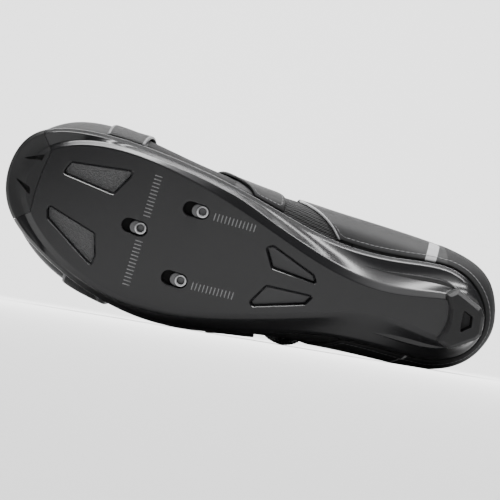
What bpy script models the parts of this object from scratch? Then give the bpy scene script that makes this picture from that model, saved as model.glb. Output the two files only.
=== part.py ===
"""Road cycling shoe for the right foot, lying on its outer side.

The shoe is drawn standing: +X from heel to toe, +Y to the inner (medial) side,
+Z up, with the heel pad's ground face at Z 0. lay_down then turns the whole
shoe onto its outer side, on the plane that its sole edge, dial and heel share.
"""
import math

import bmesh
import bpy
import numpy as np
from mathutils import Matrix, Vector

MM = 0.001

# Driving sizes of the shoe
LENGTH = 285 * MM
BALL_WIDTH = 100 * MM
INSTEP_HEIGHT = 100 * MM
HEEL_HEIGHT = 90 * MM
TOE_SPRING = 27 * MM
ARCH_RISE = 14 * MM

# Sole
HEEL_OVERHANG = 6 * MM
TOE_OVERHANG = 0.5 * MM
SOLE_LENGTH = LENGTH - HEEL_OVERHANG - TOE_OVERHANG
EDGE_HEIGHT = 30 * MM
TREAD_START = 14 * MM
TREAD_SETBACK = 13 * MM
TREAD_LENGTH = LENGTH - TREAD_START - TREAD_SETBACK
PLATE = 7.5 * MM
TREAD_STEP = 2.6 * MM
TREAD_SLOPE = 3.4 * MM
EDGE_LIP = 5 * MM
EDGE_ROUND = 2.2 * MM
LAND_WIDTH = 4.5 * MM
CUP_WIDTH = 8 * MM
FLANK_SAG = 0.12
RECESS_DEPTH = 3.2 * MM
RECESS_DRAFT = 1.4 * MM

# Rubber pads
TOE_PAD_THICK = 2.6 * MM
GROOVE_DEPTH = 1.5 * MM
HEEL_PAD_BEVEL = 2.3 * MM
HEEL_PAD_TOP = 12.5 * MM
HEEL_HOLE_DEPTH = 5 * MM

# Cleat fixing
SLOT_LENGTH = 14.5 * MM
SLOT_WIDTH = 7.8 * MM
SLOT_DEPTH = 5 * MM
NUT_LENGTH = 9.6 * MM
NUT_THICK = 3 * MM
NUT_BOSS = 3.2 * MM
NUT_BOSS_RISE = 1.4 * MM
NUT_THREAD = 2.1 * MM
NUT_SETBACK = 0.4 * MM

# Upper
UPPER_START = 0.5 * MM
UPPER_SETBACK = 3 * MM
UPPER_LENGTH = LENGTH - UPPER_START - UPPER_SETBACK
WALL = 1.8 * MM
COLLAR_PAD = 3.6 * MM
FEATHER_INSET = 1 * MM
GAP = 0.3 * MM
PANEL = 0.9 * MM
STRAP = 1.8 * MM
INSOLE = 3 * MM
TONGUE = 2.6 * MM
TONGUE_TOP = 16 * MM
TONGUE_BACK = 0.393 * LENGTH
TONGUE_FRONT = 0.702 * LENGTH
TONGUE_SPREAD = 0.28
TONGUE_TAPER = 0.42
TONGUE_DIP = 1.4 * MM
WING = 1.6 * MM
STRAP_FOOT = 0.02
THROAT_MIDDLE = 0.526 * LENGTH
THROAT_FRONT = 0.667 * LENGTH
THROAT_BACK = 0.323 * LENGTH
THROAT_HALF = 0.12 * BALL_WIDTH

# Closure
DIAL_RADIUS = 13.6 * MM
DIAL_HEIGHT = 5.6 * MM
DIAL_TILT = 38
DIAL_X = 0.393 * LENGTH
DIAL_CLIMB = 0.71
BASE_HEIGHT = 3.3 * MM
BASE_RADIUS = 13 * MM
KNURLS = 24
KNURL_DEPTH = 0.5 * MM
DIAL_CHAMFER = 0.8 * MM
FIT_EDGE = 0.5 * MM
LACE = 1.3 * MM
LACE_LIFT = 1.1 * MM
LACE_DROP = 1.3 * MM
LACE_CLEAR = 0.45 * MM
GUIDE_RADIUS = 4.6 * MM
GUIDE_CORE = 2.2 * MM
GUIDE_PLATE = 0.8 * MM
GUIDE_LEAD = 0.08
DIAL_LEAD = 0.15

# Mesh steps: stations along each side, and steps up the upper's wall
STATIONS = 32
LOW_STEPS = 3
HIGH_STEPS = 8
PANEL_STEPS = 29
STRAP_STEPS = 5
TONGUE_STEPS = 9
TONGUE_ROWS = 8
CROSSING_STEPS = 7

# Ring shares run from 0 at the heel to 1 at the toe along each side. Widths are
# shares of BALL_WIDTH from the shoe's axis, and heights are shares of the size
# that the column names.
SOLE_COLUMNS = ("ring", "edge_in", "edge_out", "tread_in", "tread_out", "top_in", "top_out")
SOLE_ROWS = (
    (0.0, -0.060, -0.060, -0.045, -0.045, 0.90, 0.90),
    (0.1, 0.110, -0.220, 0.050, -0.140, 0.90, 0.90),
    (0.2, 0.219, -0.312, 0.045, -0.143, 0.90, 0.90),
    (0.3, 0.195, -0.320, 0.004, -0.126, 0.94, 0.90),
    (0.4, 0.202, -0.357, 0.058, -0.218, 0.97, 0.86),
    (0.5, 0.310, -0.457, 0.200, -0.327, 0.75, 0.62),
    (0.6, 0.400, -0.494, 0.320, -0.396, 0.50, 0.44),
    (0.7, 0.437, -0.413, 0.373, -0.358, 0.46, 0.46),
    (0.8, 0.410, -0.273, 0.343, -0.240, 0.60, 0.60),
    (0.9, 0.300, -0.115, 0.240, -0.080, 0.83, 0.83),
    (1.0, 0.090, 0.090, 0.090, 0.090, 1.00, 1.00),
)
BOTTOM_COLUMNS = ("along", "arch", "spring")
BOTTOM_ROWS = (
    (0.00, 0.55, 0.00),
    (0.07, 0.55, 0.00),
    (0.14, 0.65, 0.00),
    (0.24, 0.90, 0.00),
    (0.32, 0.94, 0.00),
    (0.42, 0.68, 0.00),
    (0.50, 0.36, 0.00),
    (0.58, 0.08, 0.00),
    (0.62, 0.00, 0.00),
    (0.66, -0.02, 0.00),
    (0.71, 0.00, 0.00),
    (0.75, 0.00, 0.05),
    (0.80, 0.00, 0.14),
    (0.86, 0.00, 0.30),
    (0.93, 0.00, 0.56),
    (1.00, 0.00, 0.90),
)
UPPER_COLUMNS = ("ring", "wide_in", "wide_out", "wide_height")
UPPER_ROWS = (
    (0.00, -0.050, -0.050, 0.42),
    (0.05, 0.055, -0.140, 0.42),
    (0.10, 0.165, -0.235, 0.42),
    (0.20, 0.280, -0.360, 0.43),
    (0.30, 0.314, -0.393, 0.45),
    (0.40, 0.328, -0.414, 0.46),
    (0.50, 0.350, -0.455, 0.38),
    (0.60, 0.410, -0.476, 0.29),
    (0.70, 0.475, -0.455, 0.28),
    (0.80, 0.448, -0.335, 0.32),
    (0.90, 0.310, -0.135, 0.35),
    (0.95, 0.215, -0.025, 0.355),
    (1.00, 0.090, 0.090, 0.36),
)
TOP_COLUMNS = ("ring", "along", "middle", "half", "height", "facing", "lean")
TOP_ROWS = (
    (0.00, 0.018, -0.045, 0.000, 0.905, 180, 84),
    (0.05, 0.021, -0.045, 0.070, 0.900, 150, 84),
    (0.10, 0.033, -0.045, 0.145, 0.880, 125, 84),
    (0.15, 0.060, -0.045, 0.220, 0.840, 105, 84),
    (0.20, 0.100, -0.044, 0.270, 0.780, 95, 84),
    (0.25, 0.150, -0.042, 0.300, 0.735, 90, 84),
    (0.30, 0.210, -0.040, 0.310, 0.730, 90, 82),
    (0.35, 0.270, -0.036, 0.298, 0.785, 90, 76),
    (0.40, 0.325, -0.030, 0.250, 0.880, 90, 62),
    (0.45, 0.370, -0.024, 0.150, 0.970, 90, 30),
    (0.50, 0.393, -0.018, 0.000, 1.000, 90, 0),
    (0.60, 0.535, 0.000, 0.000, 0.790, 90, 0),
    (0.70, 0.685, 0.026, 0.000, 0.590, 90, 0),
    (0.80, 0.820, 0.052, 0.000, 0.490, 90, 0),
    (0.90, 0.900, 0.076, 0.000, 0.455, 75, 0),
    (1.00, 0.930, 0.085, 0.000, 0.440, 0, 0),
)

# Flat outlines on the sole, as shares of LENGTH along and BALL_WIDTH across, seen from above
FRONT_RECESS_IN = (
    (0.8877, 0.170), (0.8772, 0.240), (0.7544, 0.285), (0.7579, 0.245), (0.7807, 0.135),
)
FRONT_RECESS_OUT = (
    (0.9000, -0.020), (0.7965, -0.100), (0.7842, -0.220), (0.7877, -0.275), (0.8930, -0.095),
)
ARCH_RECESS_IN = (
    (0.4719, 0.070), (0.4596, 0.090), (0.3702, -0.010), (0.3596, -0.055), (0.4509, -0.030),
)
ARCH_RECESS_OUT = (
    (0.4526, -0.132), (0.3596, -0.125), (0.3719, -0.180), (0.4684, -0.260), (0.4754, -0.240),
)
TOE_PAD_LINE = (
    (0.9481, 0.370), (0.9193, 0.265), (0.9270, 0.140), (0.9305, 0.020), (0.9298, -0.090),
    (0.9632, -0.165),
)
TOE_GROOVE_IN = (
    (0.9754, 0.182), (0.9305, 0.238), (0.9340, 0.202),
)
TOE_GROOVE_OUT = (
    (0.9807, 0.070), (0.9439, 0.042), (0.9404, 0.000),
)
HEEL_PAD_LINE = (
    (0.1165, 0.085), (0.0982, 0.130), (0.0456, 0.065), (0.0358, 0.025), (0.0316, -0.080),
    (0.0386, -0.110), (0.0825, -0.198), (0.1109, -0.175), (0.1028, -0.110), (0.0996, -0.050),
    (0.1032, 0.015),
)
HEEL_HOLE_LINE = (
    (0.0772, 0.030), (0.0582, 0.008), (0.0554, -0.048), (0.0730, -0.092),
)
CLEAT_TURN = 3
CLEAT_SLOTS = {
    "front": (0.7256, -0.005),
    "inner": (0.6193, 0.170),
    "outer": (0.6256, -0.223),
}

# Overlays: climb and across run over the upper's wall, and rear and front are shares of LENGTH
QUARTER_COLUMNS = ("climb", "front_in", "front_out")
QUARTER_ROWS = (
    (0.02, 0.340, 0.282),
    (0.09, 0.362, 0.303),
    (0.17, 0.392, 0.327),
    (0.25, 0.418, 0.348),
    (0.40, 0.432, 0.380),
    (0.56, 0.434, 0.428),
    (0.72, 0.430, 0.440),
    (0.86, 0.395, 0.400),
    (0.95, 0.355, 0.360),
)
STRAP_COLUMNS = ("across", "rear", "front")
STRAP_ROWS = (
    (0.000, 0.750, 0.825),
    (0.125, 0.742, 0.820),
    (0.300, 0.725, 0.806),
    (0.500, 0.712, 0.796),
    (0.700, 0.726, 0.816),
    (0.875, 0.745, 0.837),
    (1.000, 0.763, 0.836),
)
WING_COLUMNS = ("climb", "rear", "front")
WING_IN_ROWS = (
    (0.02, 0.458, 0.520),
    (0.12, 0.458, 0.535),
    (0.25, 0.465, 0.565),
    (0.40, 0.480, 0.590),
    (0.55, 0.500, 0.606),
    (0.68, 0.520, 0.606),
    (0.76, 0.530, 0.596),
)
WING_OUT_ROWS = (
    (0.02, 0.455, 0.540),
    (0.12, 0.450, 0.545),
    (0.25, 0.450, 0.545),
    (0.40, 0.458, 0.548),
    (0.55, 0.468, 0.552),
    (0.68, 0.476, 0.545),
    (0.76, 0.482, 0.538),
)

# Wire guides in the order that the wire meets them, and the thickness of what each one sits on
GUIDE_COLUMNS = ("along", "side", "climb", "seat")
GUIDE_ROWS = (
    (0.415, 1, 0.73, PANEL),
    (0.510, -1, 0.70, WING),
    (0.565, 1, 0.70, WING),
    (0.640, -1, 0.72, 0),
)

# Where the shoe balances when it lies down, as shares of its length and instep height
BALANCE_X = 0.45
BALANCE_Z = 0.34


def material(name, colour, roughness, metallic=0.0):
    """A Principled BSDF material."""
    made = bpy.data.materials.new(name)
    made.use_nodes = True
    shader = made.node_tree.nodes["Principled BSDF"]
    shader.inputs["Base Color"].default_value = (*colour, 1)
    shader.inputs["Roughness"].default_value = roughness
    shader.inputs["Metallic"].default_value = metallic
    return made


def column(rows, columns, name):
    """One named column of a table, as an array."""
    return np.array([row[columns.index(name)] for row in rows], float)


def spline(knots, values, at, period=None):
    """A smooth cubic through the knots; with a period it closes into a ring."""
    knots, values = np.asarray(knots, float), np.asarray(values, float)
    if period:
        knots = np.concatenate([knots[-3:] - period, knots, knots[:3] + period])
        values = np.concatenate([values[-3:], values, values[:3]])
    count = len(knots)
    step = np.diff(knots)
    rise = np.diff(values) / step
    matrix, right = np.eye(count), np.zeros(count)
    for i in range(1, count - 1):
        matrix[i, i - 1:i + 2] = step[i - 1], 2 * (step[i - 1] + step[i]), step[i]
        right[i] = 6 * (rise[i] - rise[i - 1])
    bend = np.linalg.solve(matrix, right)
    cell = np.clip(np.searchsorted(knots, at) - 1, 0, count - 2)
    h, a = step[cell], (at - knots[cell])
    b = h - a
    curved = (bend[cell] * b ** 3 + bend[cell + 1] * a ** 3) / (6 * h)
    left = (values[cell] / h - bend[cell] * h / 6) * b
    return curved + left + (values[cell + 1] / h - bend[cell + 1] * h / 6) * a


def around(ring, inner, outer, turn):
    """A quantity round the shoe at the places turn: 0 heel, 1 toe, then back to 2 along the outer side."""
    knots = np.concatenate([ring, 2 - ring[-2:0:-1]])
    values = np.concatenate([inner, outer[-2:0:-1]])
    return spline(knots, values, turn % 2, 2.0)


def along(start, length, turn):
    """Distance from the heel at each place round a ring."""
    return start + length * (1 - np.cos(math.pi * turn)) / 2


def ring_turns(count=STATIONS):
    """The places of the stations round a ring."""
    return np.arange(2 * count) / count


def bottom_height(x):
    """Height of the tread under a point: the arch, a flat seat for the cleat, then the toe spring."""
    share = column(BOTTOM_ROWS, BOTTOM_COLUMNS, "along")
    arch = spline(share, column(BOTTOM_ROWS, BOTTOM_COLUMNS, "arch"), x / LENGTH)
    spring = spline(share, column(BOTTOM_ROWS, BOTTOM_COLUMNS, "spring"), x / LENGTH)
    return np.maximum(ARCH_RISE * arch + TOE_SPRING * spring, 0)


def moved(curve, turn, out=0.0, heights=None):
    """Points of a ring moved horizontally outwards by out, at new heights."""
    here = curve(turn)
    run = curve(turn + 1e-4) - curve(turn - 1e-4)
    normal = np.stack([-run[:, 1], run[:, 0]], 1)
    normal /= np.linalg.norm(normal, axis=1)[:, None]
    flat = here[:, :2] + normal * np.reshape(out, (-1, 1))
    return np.column_stack([flat, here[:, 2] if heights is None else heights])


def edge_ring(turn):
    """The sole's outline at its upper edge."""
    ring = column(SOLE_ROWS, SOLE_COLUMNS, "ring")
    y = around(ring, *(column(SOLE_ROWS, SOLE_COLUMNS, n) for n in ("edge_in", "edge_out")), turn)
    z = around(ring, *(column(SOLE_ROWS, SOLE_COLUMNS, n) for n in ("top_in", "top_out")), turn)
    x = along(HEEL_OVERHANG, SOLE_LENGTH, turn)
    return np.column_stack([x, y * BALL_WIDTH, z * EDGE_HEIGHT])


def tread_ring(turn):
    """The outline of the raised tread face, on which the cleat and the pads sit."""
    ring = column(SOLE_ROWS, SOLE_COLUMNS, "ring")
    y = around(ring, *(column(SOLE_ROWS, SOLE_COLUMNS, n) for n in ("tread_in", "tread_out")), turn)
    x = along(TREAD_START, TREAD_LENGTH, turn)
    return np.column_stack([x, y * BALL_WIDTH, bottom_height(x)])


def footbed(curve, turn, out, rise):
    """A ring that lies on the plate's footbed or above it."""
    ring = moved(curve, turn, out)
    ring[:, 2] = bottom_height(ring[:, 0]) + PLATE + rise
    return ring


def sole_rings(inset=0.0, raised=0.0):
    """The sole's rings from the middle of its tread to the middle of its footbed.

    inset moves the outer surface inwards, and raised lifts the inner surface.
    """
    turn = ring_turns()
    brim = edge_ring(turn)[:, 2]
    tread = tread_ring(turn)[:, 2]
    face = moved(tread_ring, turn, 0, tread + inset)
    brow = moved(tread_ring, turn, TREAD_SLOPE - inset / 2, tread + TREAD_STEP + inset)
    low = moved(edge_ring, turn, -EDGE_ROUND - inset, brim - EDGE_LIP + 0.8 * inset)
    flank = []
    for share in (0.34, 0.67):
        middle = brow + (low - brow) * share
        middle[:, 2] += FLANK_SAG * np.maximum(low - brow, 0)[:, 2] * math.sin(math.pi * share)
        flank.append(middle)
    side = moved(edge_ring, turn, -inset, brim - EDGE_ROUND)
    top = moved(edge_ring, turn, -FEATHER_INSET / 2 - inset, brim + raised)
    land = moved(edge_ring, turn, -LAND_WIDTH, brim + raised)
    return [face, brow, *flank, low, side, top, land, footbed(edge_ring, turn, -CUP_WIDTH, raised)]


def solid(name, points, faces, look, smooth=40):
    """A named object from points and faces, its faces turned outwards."""
    mesh = bpy.data.meshes.new(name)
    mesh.from_pydata([tuple(p) for p in points], [], [tuple(f) for f in faces])
    work = bmesh.new()
    work.from_mesh(mesh)
    bmesh.ops.recalc_face_normals(work, faces=work.faces)
    work.to_mesh(mesh)
    work.free()
    made = bpy.data.objects.new(name, mesh)
    bpy.context.scene.collection.objects.link(made)
    if look:
        made.data.materials.append(look)
    made.data.shade_smooth()
    made.data.set_sharp_from_angle(angle=math.radians(smooth))
    return made


def helper(made):
    """Marks a cutter, which isn't part of the shoe."""
    made.hide_render = True
    made.display_type = "WIRE"
    return made


def boolean(target, cutter, operation="DIFFERENCE"):
    """Adds an exact Boolean to the target."""
    change = target.modifiers.new(cutter.name, "BOOLEAN")
    change.operation = operation
    change.object = cutter
    change.solver = "EXACT"


def closed_loft(name, rings, look):
    """A closed body from nested rings, its first and last filled straight across."""
    count = len(rings[0])
    half = count // 2
    faces = []
    for row in range(len(rings) - 1):
        a, b = row * count, (row + 1) * count
        for k in range(count):
            after = (k + 1) % count
            faces += [(a + k, a + after, b + after), (a + k, b + after, b + k)]
    for base in (0, (len(rings) - 1) * count):
        faces.append((base, base + 1, base + count - 1))
        faces.append((base + half, base + half + 1, base + half - 1))
        for k in range(1, half - 1):
            faces.append((base + k, base + k + 1, base + count - k - 1))
            faces.append((base + k, base + count - k - 1, base + count - k))
    return solid(name, np.concatenate(rings), faces, look)


def prism(name, outline, low, high, look=None, low_inset=0.0, high_inset=0.0):
    """An outline given in metres, extruded from low to high, its ends drawn in by the insets."""
    outline = np.asarray(outline, float)
    count = len(outline)
    points = []
    for height, inset in ((low, low_inset), (high, high_inset)):
        for k in range(count):
            before, here, after = outline[k - 1], outline[k], outline[(k + 1) % count]
            sides = []
            for a, b in ((before, here), (here, after)):
                run = (b - a) / np.linalg.norm(b - a)
                sides.append(np.array([run[1], -run[0]]))
            turn = np.sign(area(outline))
            corner = sides[0] + sides[1]
            corner /= max(0.35, 1 + sides[0] @ sides[1])
            points.append((*(here - turn * inset * corner), height))
    faces = [tuple(range(count)), tuple(range(count, 2 * count))]
    faces += [(k, (k + 1) % count, count + (k + 1) % count, count + k) for k in range(count)]
    return solid(name, points, faces, look)


def area(outline):
    """Signed area of a flat outline: positive when it runs anticlockwise."""
    x, y = outline[:, 0], outline[:, 1]
    return 0.5 * float(np.sum(x * np.roll(y, -1) - np.roll(x, -1) * y))


def stadium(length, width, steps=6):
    """A slot outline, centred, with its length along X."""
    radius, half = width / 2, length / 2 - width / 2
    ends = []
    for sign in (1, -1):
        for k in range(steps + 1):
            angle = -math.pi / 2 + math.pi * k / steps
            ends.append((sign * (half + radius * math.cos(angle)), sign * radius * math.sin(angle)))
    return np.array(ends)


def circle(radius, steps=14):
    """A round outline, centred."""
    turns = 2 * math.pi * (np.arange(steps) + 0.5) / steps
    return radius * np.column_stack([np.cos(turns), np.sin(turns)])


def placed(outline, centre, degrees):
    """A flat outline turned and moved."""
    c, s = math.cos(math.radians(degrees)), math.sin(math.radians(degrees))
    return outline @ np.array([[c, s], [-s, c]]) + np.asarray(centre)


def on_plan(outline):
    """An outline table in metres."""
    return np.array(outline, float) * [LENGTH, BALL_WIDTH]


def joined(name, parts):
    """Cutters that don't touch, as one object."""
    work = bmesh.new()
    for part in parts:
        work.from_mesh(part.data)
        bpy.data.objects.remove(part)
    mesh = bpy.data.meshes.new(name)
    work.to_mesh(mesh)
    work.free()
    made = bpy.data.objects.new(name, mesh)
    bpy.context.scene.collection.objects.link(made)
    return helper(made)


def tread_at(outline):
    """Lowest and highest tread over an outline."""
    heights = bottom_height(np.asarray(outline)[:, 0])
    return heights.min(), heights.max()


def recess(name, outline):
    """A cutter for a window moulded into the tread, its floor parallel to the tread."""
    outline = on_plan(outline)
    cutter = prism(name, outline, 0, RECESS_DEPTH, None, -RECESS_DRAFT, 0)
    lowered = cutter.data.vertices
    for k, point in enumerate(lowered):
        base = bottom_height(np.array([point.co.x]))[0]
        point.co.z = base - RECESS_DEPTH if k < len(outline) else base + RECESS_DEPTH
    return cutter


def slot_outline(where, margin=0.0, length=SLOT_LENGTH):
    """The outline of a cleat slot, or of what slides in it."""
    return placed(stadium(length - 2 * margin, SLOT_WIDTH - 2 * margin), on_plan(where), CLEAT_TURN)


def slot_floor(where):
    """Height of a slot's floor."""
    return bottom_height(np.array([where[0] * LENGTH]))[0] + SLOT_DEPTH


def outsole(look):
    """The stiff sole plate, with its tread windows, cleat slots and the seat of the toe pad."""
    plate = closed_loft("outsole", sole_rings(), look)
    cuts = [
        recess(f"recess_{k}", line)
        for k, line in enumerate((FRONT_RECESS_IN, FRONT_RECESS_OUT, ARCH_RECESS_IN, ARCH_RECESS_OUT))
    ]
    for name, where in CLEAT_SLOTS.items():
        outline = slot_outline(where)
        cuts.append(prism(f"slot_{name}", outline, tread_at(outline)[0] - SLOT_DEPTH, slot_floor(where)))
    boolean(plate, joined("sole_cuts", cuts))
    seat = helper(toe_block("toe_seat", 0.0))
    boolean(seat, helper(closed_loft("toe_core", sole_rings(TOE_PAD_THICK, PLATE), None)))
    boolean(plate, seat)
    return plate


def toe_block(name, margin):
    """A block over the toe pad's place, drawn back by a margin along the pad's edge."""
    line = on_plan(TOE_PAD_LINE)
    line = line + np.array([margin, 0])
    front = LENGTH + EDGE_HEIGHT
    side = BALL_WIDTH / 2
    outline = [(front, side), (line[0][0] - side / 8, side), *line, (line[-1][0] + side / 8, -side), (front, -side)]
    return prism(name, outline, -EDGE_HEIGHT, 2 * EDGE_HEIGHT)


def toe_pad(look):
    """The rubber bumper moulded round the sole's toe, with two wedge grooves."""
    pad = closed_loft("toe_pad", sole_rings(), look)
    boolean(pad, helper(toe_block("toe_pad_block", GAP)), "INTERSECT")
    boolean(pad, helper(closed_loft("toe_pad_core", sole_rings(TOE_PAD_THICK - GAP, PLATE), None)))
    grooves = []
    for k, line in enumerate((TOE_GROOVE_IN, TOE_GROOVE_OUT)):
        cutter = prism(f"groove_{k}", on_plan(line), 0, 1)
        for j, point in enumerate(cutter.data.vertices):
            base = bottom_height(np.array([point.co.x]))[0]
            point.co.z = base - EDGE_LIP if j < len(line) else base + GROOVE_DEPTH
        grooves.append(cutter)
    boolean(pad, joined("toe_grooves", grooves))
    return pad


def heel_pad(look):
    """The walking pad under the heel: a bevelled block with a wedge window."""
    line = on_plan(HEEL_PAD_LINE)
    pad = prism("heel_pad", line, 0, HEEL_PAD_TOP, look)
    work = bmesh.new()
    work.from_mesh(pad.data)
    base = min(work.faces, key=lambda f: f.calc_center_median().z)
    bmesh.ops.inset_region(work, faces=[base], thickness=HEEL_PAD_BEVEL, depth=0)
    rim = [v for v in work.verts if v.co.z < 1e-6 and v not in base.verts]
    for point in rim:
        point.co.z += HEEL_PAD_BEVEL
    work.to_mesh(pad.data)
    work.free()
    boolean(pad, helper(closed_loft("heel_seat", sole_rings(-GAP), None)))
    boolean(pad, helper(prism("heel_hole", on_plan(HEEL_HOLE_LINE), -GROOVE_DEPTH, HEEL_HOLE_DEPTH)))
    return pad


def cleat_nut(name, where, look):
    """A sliding nut: a slot-shaped plate with a threaded boss that faces the cleat."""
    top = slot_floor(where) - GAP
    plate_outline = slot_outline(where, GAP, NUT_LENGTH + 2 * GAP)
    nut = prism(name, plate_outline - [(SLOT_LENGTH - NUT_LENGTH) / 2 - GAP, 0], top - NUT_THICK, top, look)
    boss_at = on_plan(where) - [SLOT_LENGTH / 2 - NUT_BOSS - 2 * GAP, 0]
    face = top - NUT_THICK - NUT_BOSS_RISE
    boss, thread = (circle(radius) + boss_at for radius in (NUT_BOSS, NUT_THREAD))
    boolean(nut, helper(prism(name + "_boss", boss, face, top - NUT_SETBACK)), "UNION")
    boolean(nut, helper(prism(name + "_thread", thread, face - NUT_THICK, top - NUT_SETBACK)))
    return nut


def insole(look):
    """The footbed lining the plate, inside the foot of the upper."""
    turn = ring_turns()
    rim = WALL + FEATHER_INSET + LAND_WIDTH / 2
    foot = footbed(edge_ring, turn, -CUP_WIDTH - GAP, GAP)
    low = moved(edge_ring, turn, -LAND_WIDTH - GAP, edge_ring(turn)[:, 2] + GAP)
    low = foot + (low - foot) * 0.98
    high = moved(edge_ring, turn, -rim - GAP)
    high[:, 2] = np.maximum(low[:, 2] + GAP, foot[:, 2] + INSOLE)
    return closed_loft("insole", [foot, low, high, footbed(edge_ring, turn, -CUP_WIDTH - INSOLE, INSOLE)], look)


def bezier(points, share):
    """A cubic curve between the first and last of four arrays of points."""
    a, b, c, d = points
    t, u = share, 1 - share
    return u ** 3 * a + 3 * u * u * t * b + 3 * u * t * t * c + t ** 3 * d


def wall_points(turn, climb):
    """Points of the upper's outer surface: climb runs from 0 at the sole to 1 at the collar or ridge."""
    brim = edge_ring(turn)[:, 2]
    foot = moved(edge_ring, turn, -FEATHER_INSET, brim + GAP)
    ring = column(UPPER_ROWS, UPPER_COLUMNS, "ring")
    widths = (column(UPPER_ROWS, UPPER_COLUMNS, n) for n in ("wide_in", "wide_out"))
    heights = column(UPPER_ROWS, UPPER_COLUMNS, "wide_height")
    wide = np.column_stack([
        along(UPPER_START, UPPER_LENGTH, turn),
        around(ring, *widths, turn) * BALL_WIDTH,
        around(ring, heights, heights, turn) * INSTEP_HEIGHT,
    ])
    top, pull = top_ring(turn)
    spread, rise, height = (wide - foot) * [1, 1, 0], (wide - foot) * [0, 0, 1], (top - wide) * [0, 0, 1]
    reach = np.linalg.norm(top - wide, axis=1)[:, None]
    waist = LOW_STEPS / (LOW_STEPS + HIGH_STEPS)
    share = np.where(climb < waist, climb / waist, (climb - waist) / (1 - waist))[:, None]
    low = bezier((foot, foot + 0.6 * spread + 0.1 * rise, wide - 0.55 * rise, wide), share)
    high = bezier((wide, wide + 0.5 * height, top + pull * reach * 0.42, top), share)
    return np.where((climb < waist)[:, None], low, high)


def top_ring(turn):
    """The collar line and the ridge of the vamp, with the way the wall leaves each point."""
    ring = column(TOP_ROWS, TOP_COLUMNS, "ring")
    turn = turn % 2
    share = 1 - np.abs(1 - turn)
    side = np.where(turn > 1, -1, 1)
    read = {name: spline(ring, column(TOP_ROWS, TOP_COLUMNS, name), share) for name in TOP_COLUMNS[1:]}
    front = ridge_share()
    for name in ("half", "lean"):
        read[name] = np.where(share < front - 1e-9, read[name], 0)
    heel = HEEL_HEIGHT / INSTEP_HEIGHT / TOP_ROWS[0][TOP_COLUMNS.index("height")]
    height = read["height"] * INSTEP_HEIGHT * (1 + (heel - 1) * np.clip(1 - share / front, 0, 1))
    facing, lean = np.radians(read["facing"]), np.radians(read["lean"])
    pull = [np.cos(facing) * np.cos(lean), side * np.sin(facing) * np.cos(lean), -np.sin(lean)]
    y = (read["middle"] + side * read["half"]) * BALL_WIDTH
    return np.column_stack([read["along"] * LENGTH, y, height]), np.column_stack(pull)


def ridge_share():
    """The ring share from which the wall's two sides meet on the ridge."""
    half = list(column(TOP_ROWS, TOP_COLUMNS, "half"))
    return TOP_ROWS[half.index(0.0, 1)][0]


def wall_normals(turn, climb):
    """Outward unit normals of the upper's outer surface."""
    step = 1e-3
    normal = _slope(turn, np.clip(climb, step, 1 - step), step)
    share = 1 - np.abs(1 - turn % 2)
    crest = ((climb > 1 - step) & (share > ridge_share() - 1e-6))[:, None]
    other = _slope(-turn, np.clip(climb, step, 1 - step), step)
    normal = np.where(crest, normal + other, normal)
    return normal / np.linalg.norm(normal, axis=1)[:, None]


def _slope(turn, climb, step):
    """Unit normals of one side by differences."""
    run = wall_points(turn + step, climb) - wall_points(turn - step, climb)
    rise = wall_points(turn, climb + step) - wall_points(turn, climb - step)
    normal = np.cross(rise, run)
    return normal / np.linalg.norm(normal, axis=1)[:, None]


def off_wall(turn, climb, out):
    """Points at a distance out from the upper's outer surface, for arrays of any one shape."""
    turn, climb, out = np.broadcast_arrays(turn, climb, out)
    flat = turn.ravel().astype(float), climb.ravel().astype(float)
    points = wall_points(*flat) + wall_normals(*flat) * out.ravel()[:, None]
    return points.reshape(*turn.shape, 3)


def turn_at(x, climb, side=1):
    """The place round the shoe whose wall point lies at x, on the inner (1) or outer (-1) side."""
    x, climb, side = np.broadcast_arrays(x, climb, side)
    trial = np.linspace(0.02, 0.98, 97)
    found = np.empty(x.shape)
    for level in np.unique(climb):
        for way in (1, -1):
            pick = (climb == level) & (side == way)
            reach = wall_points(trial * way, np.full(len(trial), level))[:, 0]
            found[pick] = way * np.interp(x[pick], reach, trial)
    return found


def wall_levels(low=0.0, high=1.0):
    """The climbs of the wall's own mesh between two climbs, so that what lies on it bends with it."""
    levels = np.linspace(0, 1, LOW_STEPS + HIGH_STEPS + 1)
    inside = levels[(levels > low + 0.01) & (levels < high - 0.01)]
    return np.concatenate([[low], inside, [high]])


def wall_grid(out=0.0):
    """The whole upper's surface as rows of stations by steps of climb."""
    climb = wall_levels()
    return off_wall(ring_turns()[:, None], climb[None, :], out)


def upper(look):
    """The upper: one hollow wall, open below, at the collar and along the throat."""
    outer = wall_grid()
    climb = np.linspace(0, 1, outer.shape[1])
    share = 1 - np.abs(1 - ring_turns())
    collar = np.clip(1.15 - share / 0.42, 0, 1)[:, None] * np.exp(-((climb - 0.86) / 0.13) ** 2)
    inner = wall_grid(-WALL - COLLAR_PAD * collar)
    inner[:, 0, 2] = outer[:, 0, 2]
    crown = (outer[:, -1] + inner[:, -1]) / 2 + [0, 0, WALL / 3]
    made = solid("upper", *shell_mesh(outer, inner, crown), look)
    boolean(made, helper(prism("throat_cut", throat_line(), EDGE_HEIGHT, 2 * INSTEP_HEIGHT)))
    return made


def skin(grid):
    """Point numbers of a surface grid whose two sides share the ridge."""
    count, rows = grid.shape[:2]
    at = {(k, j): k * rows + j for k in range(count) for j in range(rows)}
    for k in range(round(ridge_share() * STATIONS), STATIONS + 1):
        at[((count - k) % count, rows - 1)] = at[(k, rows - 1)]
    return at


def skin_faces(at, count, rows):
    """Triangles of a surface grid."""
    faces = []
    for k in range(count):
        after = (k + 1) % count
        for j in range(rows - 1):
            a, b, c, d = at[(k, j)], at[(after, j)], at[(after, j + 1)], at[(k, j + 1)]
            faces += [(a, b, c), (a, c, d)]
    return faces


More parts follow.
